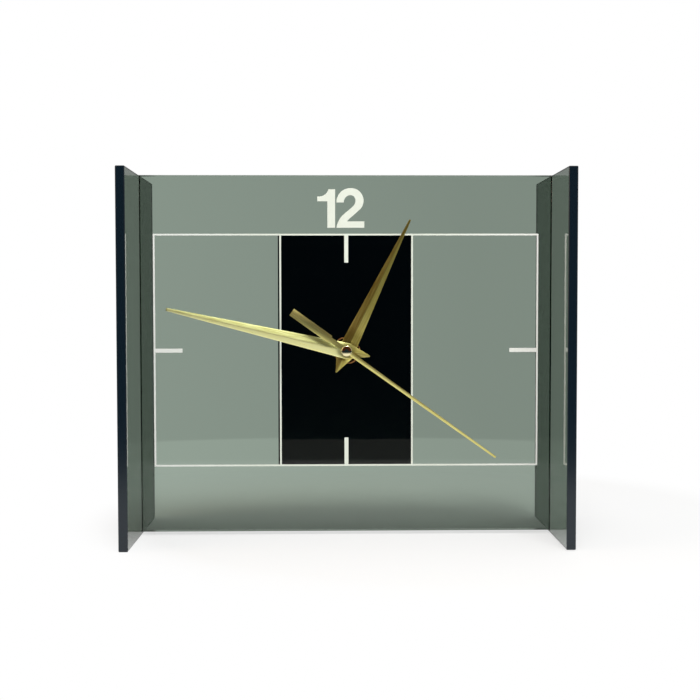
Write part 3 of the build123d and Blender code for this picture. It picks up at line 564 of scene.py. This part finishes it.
def makeHandTree():
    tree, keys, given = startGroup("creasedHand", (*handLengths, "slope", "depth", "height", "turn"),
        {"finish": "NodeSocketMaterial"})
    flat = addNode(tree, "GeometryNodeMeshGrid", {
        "Size X": 1.0, "Size Y": 1.0, "Vertices X": handGrid["along"], "Vertices Y": handGrid["across"]})
    onGrid = addNode(tree, "GeometryNodeInputPosition")
    spot = addNode(tree, "ShaderNodeSeparateXYZ", {0: onGrid}).outputs
    # the first fifth of the grid is the tail, the rest the blade
    corner = handGrid["corner"]
    onTail = addNode(tree, "ShaderNodeMath", {0: spot["X"], 1: corner - handGrid["seam"]},
        operation="LESS_THAN")
    runs = []
    for tailEnd, widest, tip in (("tail", "shoulder", "length"), ("halfTail", "halfWidth", "halfTip")):
        blade = addNode(tree, "ShaderNodeMapRange", {
            "Value": spot["X"], "From Min": corner, "From Max": 0.5, "To Min": given[widest],
            "To Max": given[tip]})
        back = addNode(tree, "ShaderNodeMapRange", {
            "Value": spot["X"], "From Min": -0.5, "From Max": corner, "To Min": given[tailEnd],
            "To Max": given[widest]})
        runs.append(addNode(tree, "GeometryNodeSwitch", {"Switch": onTail, "False": blade, "True": back},
            input_type="FLOAT"))
    along, half = runs
    # steps are finer towards the fold
    side = addNode(tree, "ShaderNodeMath", {0: spot["Y"], 1: 2.0}, operation="MULTIPLY")
    sideSize = addNode(tree, "ShaderNodeMath", {0: side}, operation="ABSOLUTE")
    share = addNode(tree, "ShaderNodeMath", {0: side, 1: sideSize}, operation="MULTIPLY")
    across = addNode(tree, "ShaderNodeMath", {0: share, 1: half}, operation="MULTIPLY")
    # fold with a small radius, flattened round the hub
    overFold = addNode(tree, "ShaderNodeCombineXYZ", {"X": across, "Y": given["foldRadius"]})
    rounded = addNode(tree, "ShaderNodeVectorMath", {0: overFold}, operation="LENGTH")
    fromFold = addNode(tree, "ShaderNodeMath", {0: rounded, 1: given["foldRadius"]}, operation="SUBTRACT")
    drop = addNode(tree, "ShaderNodeMath", {0: fromFold, 1: given["slope"]}, operation="MULTIPLY")
    outline = addNode(tree, "ShaderNodeCombineXYZ", {"X": along, "Y": across})
    fromHub = addNode(tree, "ShaderNodeVectorMath", {0: outline}, operation="LENGTH")
    flatEnd = addNode(tree, "ShaderNodeMath", {0: given["hubRadius"], 1: handGrid["flatEnd"]},
        operation="MULTIPLY")
    creased = addNode(tree, "ShaderNodeMapRange",
        {"Value": fromHub, "From Min": given["hubRadius"], "From Max": flatEnd},
        interpolation_type="SMOOTHSTEP")
    level = addNode(tree, "ShaderNodeMix", {0: creased, 2: given["hubLevel"], 3: drop})
    shaped = addNode(tree, "ShaderNodeCombineXYZ", {"X": along, "Y": across, "Z": level})
    skin = addNode(tree, "GeometryNodeSetPosition", {"Geometry": flat, "Position": shaped})
    # sheet of even thickness under the skin, and the hole for the tube
    behind = addNode(tree, "ShaderNodeCombineXYZ", {"Z": given["sheet"]})
    thick = addNode(tree, "GeometryNodeExtrudeMesh",
        {"Mesh": skin, "Offset": behind, "Individual": False, "Offset Scale": -1.0})
    under = addNode(tree, "GeometryNodeFlipFaces", {"Mesh": thick})
    both = addNode(tree, "GeometryNodeJoinGeometry", {"Geometry": [under, skin]})
    closed = addNode(tree, "GeometryNodeMergeByDistance", {"Geometry": both, "Distance": handGrid["weld"]})
    drill = addNode(tree, "GeometryNodeMeshCylinder", {
        "Vertices": handGrid["boreSides"], "Radius": given["bore"], "Depth": handGrid["drill"]})
    pierced = addNode(tree, "GeometryNodeMeshBoolean", {"Mesh 1": closed, "Mesh 2": drill},
        operation="DIFFERENCE", solver="EXACT")
    # grain runs along the blade: the map is in millimetres
    onHand = addNode(tree, "GeometryNodeInputPosition")
    scaled = addNode(tree, "ShaderNodeVectorMath", {0: onHand, 1: (1000, 1000, 1000)}, operation="MULTIPLY")
    mapped = addNode(tree, "GeometryNodeStoreNamedAttribute",
        {"Geometry": pierced, "Name": "brushMap", "Value": scaled},
        data_type="FLOAT2", domain="CORNER")
    turn = addNode(tree, "ShaderNodeCombineXYZ", {"X": math.pi / 2, "Y": given["turn"]})
    move = addNode(tree, "ShaderNodeCombineXYZ", {"Y": given["depth"], "Z": given["height"]})
    endGroup(tree, mapped, move, turn, given["finish"])
    return tree, keys


handTree, handKeys = makeHandTree()


def creasedHand(name, size, body, nodeName, finish):
    values = {key: size[key] * mm for key in handLengths}
    values.update(slope=-math.tan(math.radians(size["crease"])), depth=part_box(nodeName)[0].y, height=hub.z,
        turn=math.radians(size["angle"] - 90), finish=finish)
    hand = runGroup(name, handTree, handKeys, values)
    softenEdges(hand, size["edge"] * mm)
    smoothBy(hand, angle=30)
    dress(hand, "gold_brass", body, nodeName, finish=finish)


hourHand = {"length": 72.5, "tail": -12.0, "shoulder": -2.0, "halfWidth": 4.4, "halfTip": 0.45,
    "halfTail": 0.25, "crease": 12.0, "foldRadius": 0.15, "sheet": 0.35, "hubRadius": 3.9,
    "hubLevel": -0.3, "bore": 3.16, "angle": 26.0, "edge": 0.07}
creasedHand("hourHand", hourHand, "hours", "hour_hand", shadedHourBrass)
minuteHand = {"length": 91.8, "tail": -12.0, "shoulder": -0.9, "halfWidth": 4.05, "halfTip": 0.75,
    "halfTail": 0.25, "crease": 12.0, "foldRadius": 0.3, "sheet": 0.35, "hubRadius": 3.6,
    "hubLevel": -0.3, "bore": 2.36, "angle": 283.1, "edge": 0.07}
creasedHand("minuteHand", minuteHand, "minutes", "minute_hand", brushedBrass)

# Second hand: a flat strip with a bar on its tail
secondHand = {"length": 91.3, "halfRoot": 1.05, "halfTip": 0.5, "halfNeck": 1.2, "hubRadius": 2.5,
    "weightEnd": -33.4, "weightStart": -10.1, "halfWeight": 2.0, "bore": 1.51, "angle": 125.6,
    "edge": 0.06, "crown": 0.14, "lean": 0.8, "steps": 8}
stripLow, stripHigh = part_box("second_hand")
turn = math.radians(90 - secondHand["angle"])
alongHand = Vector((math.cos(turn), 0, math.sin(turn)))
besideHand = Vector((-math.sin(turn), 0, math.cos(turn)))


def onStrip(along, beside):
    # a place on the second hand, from millimetres along it and to its left
    return hub + alongHand * along * mm + besideHand * beside * mm


neck, weightEnd, weightStart = secondHand["halfNeck"], secondHand["weightEnd"], secondHand["weightStart"]
halfWeight = secondHand["halfWeight"]
leftSide = [(0, neck), (weightStart, neck), (weightStart, halfWeight), (weightEnd, halfWeight)]
strip = [onStrip(along, beside) for along, beside in leftSide + [(a, -b) for a, b in leftSide[::-1]]]
bm = bmesh.new()
prism(bm, [(corner.x, corner.z) for corner in strip], stripLow.y, stripHigh.y)
bmesh.ops.recalc_face_normals(bm, faces=bm.faces)
needle = newObject("secondHand", bm)
# the blade is a little rounded across, and leans towards its lower edge at the tip
bm = bmesh.new()
rows = []
for along, half, crest in ((0, secondHand["halfRoot"], 0.0),
        (secondHand["length"], secondHand["halfTip"], secondHand["lean"])):
    section = []
    for share in [2 * i / secondHand["steps"] - 1 for i in range(secondHand["steps"] + 1)]:
        sunk = secondHand["crown"] * mm * ((share - crest) / (1 + crest)) ** 2
        section.append((share, stripLow.y + sunk))
    section += [(1, stripHigh.y), (-1, stripHigh.y)]
    places = [onStrip(along, half * share) + Vector((0, level, 0)) for share, level in section]
    rows.append([bm.verts.new(spot) for spot in places])
for i in range(len(rows[0])):
    j = (i + 1) % len(rows[0])
    bm.faces.new((rows[0][i], rows[0][j], rows[1][j], rows[1][i]))
bm.faces.new(rows[0])
bm.faces.new(rows[1][::-1])
bmesh.ops.recalc_face_normals(bm, faces=bm.faces)
combine(needle, newObject("blade", bm), "UNION")
combine(needle, rodObject("hubDisc", secondHand["hubRadius"] * mm, stripLow.y, stripHigh.y), "UNION")
stemHole = rodObject("stemHole", secondHand["bore"] * mm, stripLow.y - mm, stripHigh.y + mm)
combine(needle, stemHole, "DIFFERENCE")
softenEdges(needle, secondHand["edge"] * mm)
grainLayer = needle.data.uv_layers.new(name="brushMap")
for loop in needle.data.loops:
    offset = needle.data.vertices[loop.vertex_index].co - hub
    grainLayer.data[loop.index].uv = (offset.dot(alongHand) / mm, offset.dot(besideHand) / mm)
smoothBy(needle, angle=30)
dress(needle, "gold_brass", "seconds", "second_hand", finish=brassStrip)

# Boss of the second hand: a shallow polished dome with a rounded rim
handBoss = {"radius": 2.7, "rim": 0.5, "domeRise": 0.32, "stem": 1.5, "bore": 0.61, "domeSteps": 12,
    "rimSteps": 6}
rim, rise = handBoss["rim"] * mm, handBoss["domeRise"] * mm
stem, stemBore = handBoss["stem"] * mm, handBoss["bore"] * mm
boreEnd = (stripLow.y + stripHigh.y) / 2
innerRadius = (handBoss["radius"] - handBoss["rim"]) * mm
domeRadius = (innerRadius ** 2 + rise ** 2) / (2 * rise)
profile = [(0, bossLow.y)]
for i in range(1, handBoss["domeSteps"] + 1):
    radius = innerRadius * i / handBoss["domeSteps"]
    profile.append((radius, bossLow.y + domeRadius - math.sqrt(domeRadius ** 2 - radius ** 2)))
for i in range(1, handBoss["rimSteps"] + 1):
    swing = math.pi / 2 * i / handBoss["rimSteps"]
    profile.append((innerRadius + rim * math.sin(swing), bossLow.y + rise + rim * (1 - math.cos(swing))))
profile += [(handBoss["radius"] * mm, stripLow.y), (stem, stripLow.y), (stem, bossHigh.y),
    (stemBore, bossHigh.y), (stemBore, boreEnd), (0, boreEnd)]
boss = lathed("handBoss", profile)
smoothBy(boss, angle=40)
dress(boss, "polished_brass", "seconds", "second_boss")

# Hex nut: flats, corners turned down round, with a turned bevel and a bevelled bore
hubNut = {"acrossFlats": 13.0, "acrossCorners": 13.8, "land": 6.35, "bevelAngle": 30.0, "bore": 4.01,
    "boreBevel": 0.35}
nutLow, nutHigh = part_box("mounting_nut")


def nutSide(spin):
    fromFlat = spin % (math.pi / 3) - math.pi / 6
    return min(hubNut["acrossFlats"] / math.cos(fromFlat), hubNut["acrossCorners"]) / 2


def nutFront(spin):
    bevel = (nutSide(spin) - hubNut["land"]) * math.tan(math.radians(hubNut["bevelAngle"]))
    return nutSide(spin) * mm, nutLow.y + bevel * mm


def nutBack(spin):
    return nutSide(spin) * mm, nutHigh.y


nutBore, boreBevel = hubNut["bore"] * mm, hubNut["boreBevel"] * mm
nut = lathed("hubNut", [(nutBore, nutLow.y + boreBevel), (nutBore + boreBevel, nutLow.y),
    (hubNut["land"] * mm, nutLow.y), nutFront, nutBack, (nutBore, nutHigh.y)])
smoothBy(nut, angle=20)
dress(nut, "turned_brass", "clock_body", "mounting_nut")

# Mouldings: the CAD node's own form with its corners rounded
mouldings = {"movementCase": {"node": "movement_case", "edge": 0.4},
    "rearCover": {"node": "rear_cover", "edge": 0.35}}
for name, form in mouldings.items():
    nodeName = form["node"]
    bm = bmesh.new()
    bm.from_mesh(cadNodes[nodeName].data)
    bm.transform(cadNodes[nodeName].matrix_world)
    cleanMesh(bm)
    moulding = newObject(name, bm)
    softenEdges(moulding, form["edge"] * mm, angle=60)
    smoothBy(moulding, angle=35)
    dress(moulding, "case_plastic", "clock_body", nodeName)

# Marks moulded on the cover and inked: the way to turn the knob, and the cell's poles
coverMarks = {"sink": 0.1, "rise": 0.25, "arcInner": 7.3, "arcOuter": 8.0, "arcFrom": 20.0, "arcTo": 160.0,
    "arcSteps": 36, "head": 2.4, "headLength": 1.4, "poleSize": 3.0, "poleBar": 0.7,
    "poleInset": 6.0, "poleUp": 3.2, "edge": 0.08}
coverLow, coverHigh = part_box("rear_cover")
knobLow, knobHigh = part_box("setting_knob")
knobAxis = (knobLow + knobHigh) / 2
markLevels = (coverHigh.y - coverMarks["sink"] * mm, coverHigh.y + coverMarks["rise"] * mm)
sweep = (coverMarks["arcTo"] - coverMarks["arcFrom"]) / coverMarks["arcSteps"]
spins = [math.radians(coverMarks["arcFrom"] + sweep * i) for i in range(coverMarks["arcSteps"] + 1)]
outer, inner, head = coverMarks["arcOuter"] * mm, coverMarks["arcInner"] * mm, coverMarks["head"] * mm
middle = (outer + inner) / 2
headTip = spins[-1] + coverMarks["headLength"] * head / middle
arc = [(outer, spin) for spin in spins]
arc += [(middle + head / 2, spins[-1]), (middle, headTip), (middle - head / 2, spins[-1])]
arc += [(inner, spin) for spin in spins[::-1]]
bm = bmesh.new()
arrow = [(knobAxis.x + radius * math.cos(spin), knobAxis.z + radius * math.sin(spin))
    for radius, spin in arc]
prism(bm, arrow, *markLevels)
bar, reachOut = coverMarks["poleBar"] * mm / 2, coverMarks["poleSize"] * mm / 2
poleHeight = coverLow.z + coverMarks["poleUp"] * mm
plusAt = coverHigh.x - coverMarks["poleInset"] * mm
minusAt = coverLow.x + coverMarks["poleInset"] * mm
plus = [(-bar, -reachOut), (bar, -reachOut), (bar, -bar), (reachOut, -bar), (reachOut, bar), (bar, bar),
    (bar, reachOut), (-bar, reachOut), (-bar, bar), (-reachOut, bar), (-reachOut, -bar), (-bar, -bar)]
minus = [(-reachOut, -bar), (reachOut, -bar), (reachOut, bar), (-reachOut, bar)]
for markAt, sign in ((plusAt, plus), (minusAt, minus)):
    prism(bm, [(markAt + x, poleHeight + z) for x, z in sign], *markLevels)
bmesh.ops.recalc_face_normals(bm, faces=bm.faces)
marks = newObject("coverMarks", bm)
softenEdges(marks, coverMarks["edge"] * mm)
smoothBy(marks, angle=35)
dress(marks, "white_ink", "clock_body")

# Cell: a steel can in a lacquered film that is rolled over at both ends, with the bare nub and base
cellForm = {"radius": 7.25, "roll": 0.7, "rollSteps": 4, "bareRing": 5.9, "sink": 0.25, "nubRadius": 2.75,
    "nubHeight": 1.0, "nubEdge": 0.3, "bandShare": 0.7, "baseRadius": 5.2, "baseRise": 0.2}
cellLow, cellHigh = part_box("cell")
nubTop = cellHigh.x - cellLow.x
cellLength = nubTop - cellForm["nubHeight"] * mm
cellEnd = Vector((cellLow.x, (cellLow.y + cellHigh.y) / 2, (cellLow.z + cellHigh.z) / 2))
cellStand = Matrix.Translation(cellEnd) @ Matrix.Rotation(-math.pi / 2, 4, "Z")
canRadius, roll, bare = cellForm["radius"] * mm, cellForm["roll"] * mm, cellForm["bareRing"] * mm
sink, nub, nubEdge = cellForm["sink"] * mm, cellForm["nubRadius"] * mm, cellForm["nubEdge"] * mm
base, baseRise = cellForm["baseRadius"] * mm, cellForm["baseRise"] * mm
bandStart = cellForm["bandShare"] * cellLength
swings = [math.pi / 2 * i / cellForm["rollSteps"] for i in range(1, cellForm["rollSteps"] + 1)]
profile = [(0, 0), (base - baseRise, 0), (base, sink), (bare, sink), (bare, 0)]
profile += [(canRadius - roll + roll * math.sin(swing), roll - roll * math.cos(swing)) for swing in swings]
profile += [(canRadius, bandStart), (canRadius, cellLength - roll)]
profile += [(canRadius - roll + roll * math.cos(swing), cellLength - roll + roll * math.sin(swing))
    for swing in swings]
profile += [(bare, cellLength), (bare, cellLength - sink), (nub + nubEdge, cellLength - sink),
    (nub, cellLength), (nub, nubTop - nubEdge), (nub - nubEdge, nubTop), (0, nubTop)]
cell = lathed("cell", profile, stand=cellStand)
smoothBy(cell, angle=30)
dress(cell, "cell_jacket", "clock_body", "cell")
cell.data.materials.append(cellBand)
cell.data.materials.append(nickelSteel)
# faces in the copper film take the second finish, bare steel the third
toCell = cellStand.inverted()
slack = 1e-6
for face in cell.data.polygons:
    spot = toCell @ face.center
    fromAxis = math.hypot(spot.x, spot.z)
    if fromAxis < bare + slack and (spot.y < sink + slack or spot.y > cellLength - sink - slack):
        face.material_index = 2
    elif spot.y > bandStart:
        face.material_index = 1

# Setting knob: a drum with ribs set round it, drawn by Geometry Nodes
settingKnob = {"ribs": 16, "root": 4.9, "ribRadius": 0.6, "dishRadius": 3.6, "dishDepth": 0.5, "bore": 1.01,
    "boreDepth": 2.5, "edge": 0.18, "drumSides": 96, "ribSides": 16, "dishSides": 64, "boreSides": 32}
knobLengths = ("root", "ribRadius", "thickness", "dishRadius", "dishTall", "dishAt", "bore", "boreTall",
    "boreAt")
knobTree, knobKeys, given = startGroup("ribbedKnob", knobLengths,
    {"ribs": "NodeSocketInt", "place": "NodeSocketVector", "finish": "NodeSocketMaterial"})
drum, rib = [
    addNode(knobTree, "GeometryNodeMeshCylinder", {
        "Vertices": settingKnob[sides], "Radius": given[radius], "Depth": given["thickness"]})
    for sides, radius in (("drumSides", "root"), ("ribSides", "ribRadius"))]
ring = addNode(knobTree, "GeometryNodeMeshCircle", {"Vertices": given["ribs"], "Radius": given["root"]})
ribs = addNode(knobTree, "GeometryNodeInstanceOnPoints", {"Points": ring, "Instance": rib})
ribs = addNode(knobTree, "GeometryNodeRealizeInstances", {"Geometry": ribs})
whole = addNode(knobTree, "GeometryNodeMeshBoolean", {"Mesh 2": [drum, ribs]}, operation="UNION",
    solver="EXACT")
# a round dish in the back and a blind hole in the front
cutters = []
for radius, tall, level, sides in (("dishRadius", "dishTall", "dishAt", "dishSides"),
        ("bore", "boreTall", "boreAt", "boreSides")):
    cutter = addNode(knobTree, "GeometryNodeMeshCylinder", {
        "Vertices": settingKnob[sides], "Radius": given[radius], "Depth": given[tall]})
    cutterAt = addNode(knobTree, "ShaderNodeCombineXYZ", {"Z": given[level]})
    cutters.append(addNode(knobTree, "GeometryNodeTransform",
        {"Geometry": cutter, "Translation": cutterAt}))
hollow = addNode(knobTree, "GeometryNodeMeshBoolean", {"Mesh 1": whole, "Mesh 2": cutters},
    operation="DIFFERENCE", solver="EXACT")
knobTurn = addNode(knobTree, "ShaderNodeCombineXYZ", {"X": math.pi / 2})
endGroup(knobTree, hollow, given["place"], knobTurn, given["finish"])
knobThickness = knobHigh.y - knobLow.y
knobValues = {key: settingKnob[key] * mm for key in ("root", "ribRadius", "dishRadius", "bore")}
knobValues.update(thickness=knobThickness,
    dishTall=2 * settingKnob["dishDepth"] * mm, dishAt=-knobThickness / 2,
    boreTall=2 * settingKnob["boreDepth"] * mm, boreAt=knobThickness / 2,
    ribs=settingKnob["ribs"], place=knobAxis, finish=caseAbs)
knob = runGroup("settingKnob", knobTree, knobKeys, knobValues)
softenEdges(knob, settingKnob["edge"] * mm)
smoothBy(knob, angle=35)
dress(knob, "case_plastic", "setting", "setting_knob")

# Floor: white table; far off it goes over into the white background, and mirrors see it dimmer
floorPlan = {"front": -3.0, "back": 9.0, "side": 7.0, "drop": 0.0002, "white": "#fafaf9", "roughness": 0.6,
    "specular": 0.2, "shadeAt": (0.05, 0.05, 0.0), "fadeFrom": 0.10, "fadeTo": 0.20, "nearGlow": 0.6,
    "throughFrom": 0.08, "throughTo": 0.24, "dimFrom": 0.412, "dimTo": 0.432, "dim": 0.87,
    "eyeAway": 0.6, "leftSlant": -0.14, "rightSlant": 0.12, "rightDim": 0.87, "backFrom": -0.05,
    "backTo": 0.02, "mirrorNear": 1.0, "mirrorBack": 0.35, "mirrorFront": 0.22, "frontFrom": -0.25,
    "frontTo": -0.285, "frontEnd": -0.41, "beyond": "#1a2b3a"}
bm = bmesh.new()
corners = [(-floorPlan["side"], floorPlan["front"]), (floorPlan["side"], floorPlan["front"]),
    (floorPlan["side"], floorPlan["back"]), (-floorPlan["side"], floorPlan["back"])]
bm.faces.new([bm.verts.new((x, y, -floorPlan["drop"])) for x, y in corners])
floor = newObject("floor", bm)
whiteTable, tree = startMaterial("white laminate table")
place = addNode(tree, "ShaderNodeTexCoord").outputs["Object"]
spot = addNode(tree, "ShaderNodeSeparateXYZ", {0: place}).outputs
path = addNode(tree, "ShaderNodeLightPath").outputs
reach = addNode(tree, "ShaderNodeVectorMath", {0: place}, operation="LENGTH")
offShade = addNode(tree, "ShaderNodeVectorMath", {0: place, 1: floorPlan["shadeAt"]}, operation="DISTANCE")
fade = addNode(tree, "ShaderNodeMapRange",
    {"Value": offShade, "From Min": floorPlan["fadeFrom"], "From Max": floorPlan["fadeTo"]},
    interpolation_type="SMOOTHSTEP")
# what the eye sees directly is lifted a little near the clock too, so that its shadow stays faint
nearBy = addNode(tree, "ShaderNodeMath", {0: fade, 1: floorPlan["nearGlow"]}, operation="MAXIMUM")
eyeShare = addNode(tree, "ShaderNodeMath", {0: path["Is Camera Ray"], 1: nearBy}, operation="MULTIPLY")
# through the acrylic it is white behind the clock's shadow, dimmer far off and towards the right
opened = addNode(tree, "ShaderNodeMapRange",
    {"Value": reach, "From Min": floorPlan["throughFrom"], "From Max": floorPlan["throughTo"]},
    interpolation_type="SMOOTHSTEP")
throughShare = addNode(tree, "ShaderNodeMath", {0: path["Is Transmission Ray"], 1: opened},
    operation="MULTIPLY")
share = addNode(tree, "ShaderNodeMath", {0: eyeShare, 1: throughShare}, operation="MAXIMUM")
farOff = addNode(tree, "ShaderNodeMapRange", {
    "Value": reach, "From Min": floorPlan["dimFrom"], "From Max": floorPlan["dimTo"],
    "To Min": 1.0, "To Max": floorPlan["dim"]}, interpolation_type="SMOOTHSTEP")
depth = addNode(tree, "ShaderNodeMath", {0: spot["Y"]}, operation="ABSOLUTE")
depth = addNode(tree, "ShaderNodeMath", {0: depth, 1: floorPlan["eyeAway"]}, operation="ADD")
slant = addNode(tree, "ShaderNodeMath", {0: spot["X"], 1: depth}, operation="DIVIDE")
sideways = addNode(tree, "ShaderNodeMapRange", {
    "Value": slant, "From Min": floorPlan["leftSlant"], "From Max": floorPlan["rightSlant"],
    "To Min": 1.0, "To Max": floorPlan["rightDim"]})
throughLevel = addNode(tree, "ShaderNodeMath", {0: farOff, 1: sideways}, operation="MULTIPLY")
glowLevel = addNode(tree, "ShaderNodeMix", {0: path["Is Transmission Ray"], 2: 1.0, 3: throughLevel})
surface = addNode(tree, "ShaderNodeBsdfPrincipled", {
    "Base Color": linear(floorPlan["white"]), "Roughness": floorPlan["roughness"],
    "Specular IOR Level": floorPlan["specular"]})
glow = addNode(tree, "ShaderNodeEmission", {"Color": (1, 1, 1, 1), "Strength": glowLevel})
mixed = addNode(tree, "ShaderNodeMixShader", {0: share, 1: surface, 2: glow})
# after a reflection: white beside the clock, dim far behind, dark in front where the table ends
behind = addNode(tree, "ShaderNodeMapRange", {
    "Value": spot["Y"], "From Min": floorPlan["backFrom"], "From Max": floorPlan["backTo"],
    "To Min": floorPlan["mirrorNear"], "To Max": floorPlan["mirrorBack"]})
ahead = addNode(tree, "ShaderNodeMapRange", {
    "Value": spot["Y"], "From Min": floorPlan["frontFrom"], "From Max": floorPlan["frontTo"],
    "To Min": 1.0, "To Max": floorPlan["mirrorFront"]})
onTable = addNode(tree, "ShaderNodeMath", {0: spot["Y"], 1: floorPlan["frontEnd"]},
    operation="GREATER_THAN")
mirrorLevel = addNode(tree, "ShaderNodeMath", {0: behind, 1: ahead}, operation="MINIMUM")
mirrorTone = addNode(tree, "ShaderNodeMix", {0: onTable, 6: linear(floorPlan["beyond"]), 7: mirrorLevel},
    data_type="RGBA")
mirrorGlow = addNode(tree, "ShaderNodeEmission", {"Color": mirrorTone, "Strength": 1.0})
afterMirror = addNode(tree, "ShaderNodeMath", {0: path["Glossy Depth"], 1: bounced},
    operation="GREATER_THAN")
seen = addNode(tree, "ShaderNodeMath", {0: path["Is Glossy Ray"], 1: path["Is Transmission Ray"]},
    operation="MAXIMUM")
afterMirror = addNode(tree, "ShaderNodeMath", {0: afterMirror, 1: seen}, operation="MULTIPLY")
table = addNode(tree, "ShaderNodeMixShader", {0: afterMirror, 1: mixed, 2: mirrorGlow})
endMaterial(tree, table)
floor.data.materials.append(whiteTable)

# Room: white behind the clock and a little dimmer to the right, dark in front, even light from all round
room = {"fill": 0.58, "leftEdge": -0.14, "rightEdge": 0.12, "leftLevel": 0.87, "rightLevel": 0.757,
    "mirrorTones": [(0.0, "#1a2b3a"), (0.008, "#1a2b3a"), (0.025, "#421f10"), (0.085, "#462614"),
        (0.18, "#e8e4da"), (0.70, "#e8e6e2"), (0.93, "#a0a0a0")]}
world = bpy.data.worlds.new("studio")
scene.world = world
world.use_nodes = True
tree = world.node_tree
tree.nodes.clear()
place = addNode(tree, "ShaderNodeTexCoord").outputs["Generated"]
aim = addNode(tree, "ShaderNodeSeparateXYZ", {0: place}).outputs
path = addNode(tree, "ShaderNodeLightPath").outputs
through = addNode(tree, "ShaderNodeMapRange", {
    "Value": aim["X"], "From Min": room["leftEdge"], "From Max": room["rightEdge"],
    "To Min": room["leftLevel"], "To Max": room["rightLevel"]})
direct = addNode(tree, "ShaderNodeMix", {0: path["Is Transmission Ray"], 2: 1.0, 3: through})
afterMatt = addNode(tree, "ShaderNodeMath", {0: path["Diffuse Depth"], 1: bounced},
    operation="GREATER_THAN")
level = addNode(tree, "ShaderNodeMix", {0: afterMatt, 2: direct, 3: room["fill"]})
turned = addNode(tree, "ShaderNodeMapRange", {"Value": aim["Y"], "From Min": -1.0, "From Max": 1.0})
mirrored = addNode(tree, "ShaderNodeValToRGB", {0: turned})
fillRamp(mirrored, room["mirrorTones"])
afterMirror = addNode(tree, "ShaderNodeMath", {0: path["Glossy Depth"], 1: bounced},
    operation="GREATER_THAN")
tone = addNode(tree, "ShaderNodeMix", {0: afterMirror, 6: level, 7: mirrored}, data_type="RGBA")
sky = addNode(tree, "ShaderNodeBackground", {"Color": tone, "Strength": 1.0})
addNode(tree, "ShaderNodeOutputWorld", {"Surface": sky})

# Lamps: a soft box high up in front, near the middle, and a weaker one on the left
softBoxes = {
    "topBox": {"place": (0.10, -0.35, 0.80), "aim": (0.0, 0.0, 0.08), "width": 0.32, "height": 0.26,
        "power": 4.2, "tone": "#ffffff", "seenThrough": True},
    "leftBox": {"place": (-0.70, -0.25, 0.35), "aim": (0.0, 0.0, 0.09), "width": 0.5, "height": 0.6,
        "power": 1.3, "tone": "#ffd5ab", "seenThrough": False},
}
for name, box in softBoxes.items():
    lamp = bpy.data.lights.new(name, "AREA")
    lamp.shape = "RECTANGLE"
    lamp.size = box["width"]
    lamp.size_y = box["height"]
    lamp.energy = box["power"]
    lamp.color = linear(box["tone"])[:3]
    lampObject = bpy.data.objects.new(name, lamp)
    scene.collection.objects.link(lampObject)
    lampObject.visible_transmission = box["seenThrough"]   # a side view through the panels shows no lamp
    lampObject.location = box["place"]
    towards = Vector(box["aim"]) - Vector(box["place"])
    lampObject.rotation_euler = towards.to_track_quat("-Z", "Y").to_euler()

# Camera where the photographer stood
viewPoint = {"place": (-9.04, -590.72, 117.96), "yaw": 0.0185, "pitch": -0.0419, "roll": -0.0013,
    "lens": 60.10, "sensor": 36.0, "clipStart": 0.01, "clipEnd": 50.0}
camera = bpy.data.cameras.new("photoCamera")
camera.sensor_fit = "HORIZONTAL"
camera.sensor_width = viewPoint["sensor"]
camera.lens = viewPoint["lens"]
camera.clip_start = viewPoint["clipStart"]
camera.clip_end = viewPoint["clipEnd"]
cameraObject = bpy.data.objects.new("photoCamera", camera)
scene.collection.objects.link(cameraObject)
yaw, pitch, tilt = viewPoint["yaw"], viewPoint["pitch"], viewPoint["roll"]
forward = Vector((math.sin(yaw) * math.cos(pitch), math.cos(yaw) * math.cos(pitch), math.sin(pitch)))
right = Vector((math.cos(yaw), -math.sin(yaw), 0))
upward = right.cross(forward)
tilted = right * math.cos(tilt) + upward * math.sin(tilt)
upward = upward * math.cos(tilt) - right * math.sin(tilt)
pose = Matrix((tilted, upward, -forward)).transposed().to_4x4()
pose.translation = Vector(viewPoint["place"]) * mm
cameraObject.matrix_world = pose
scene.camera = cameraObject
scene.view_settings.view_transform = "Standard"
print("floor, room, light and camera set")
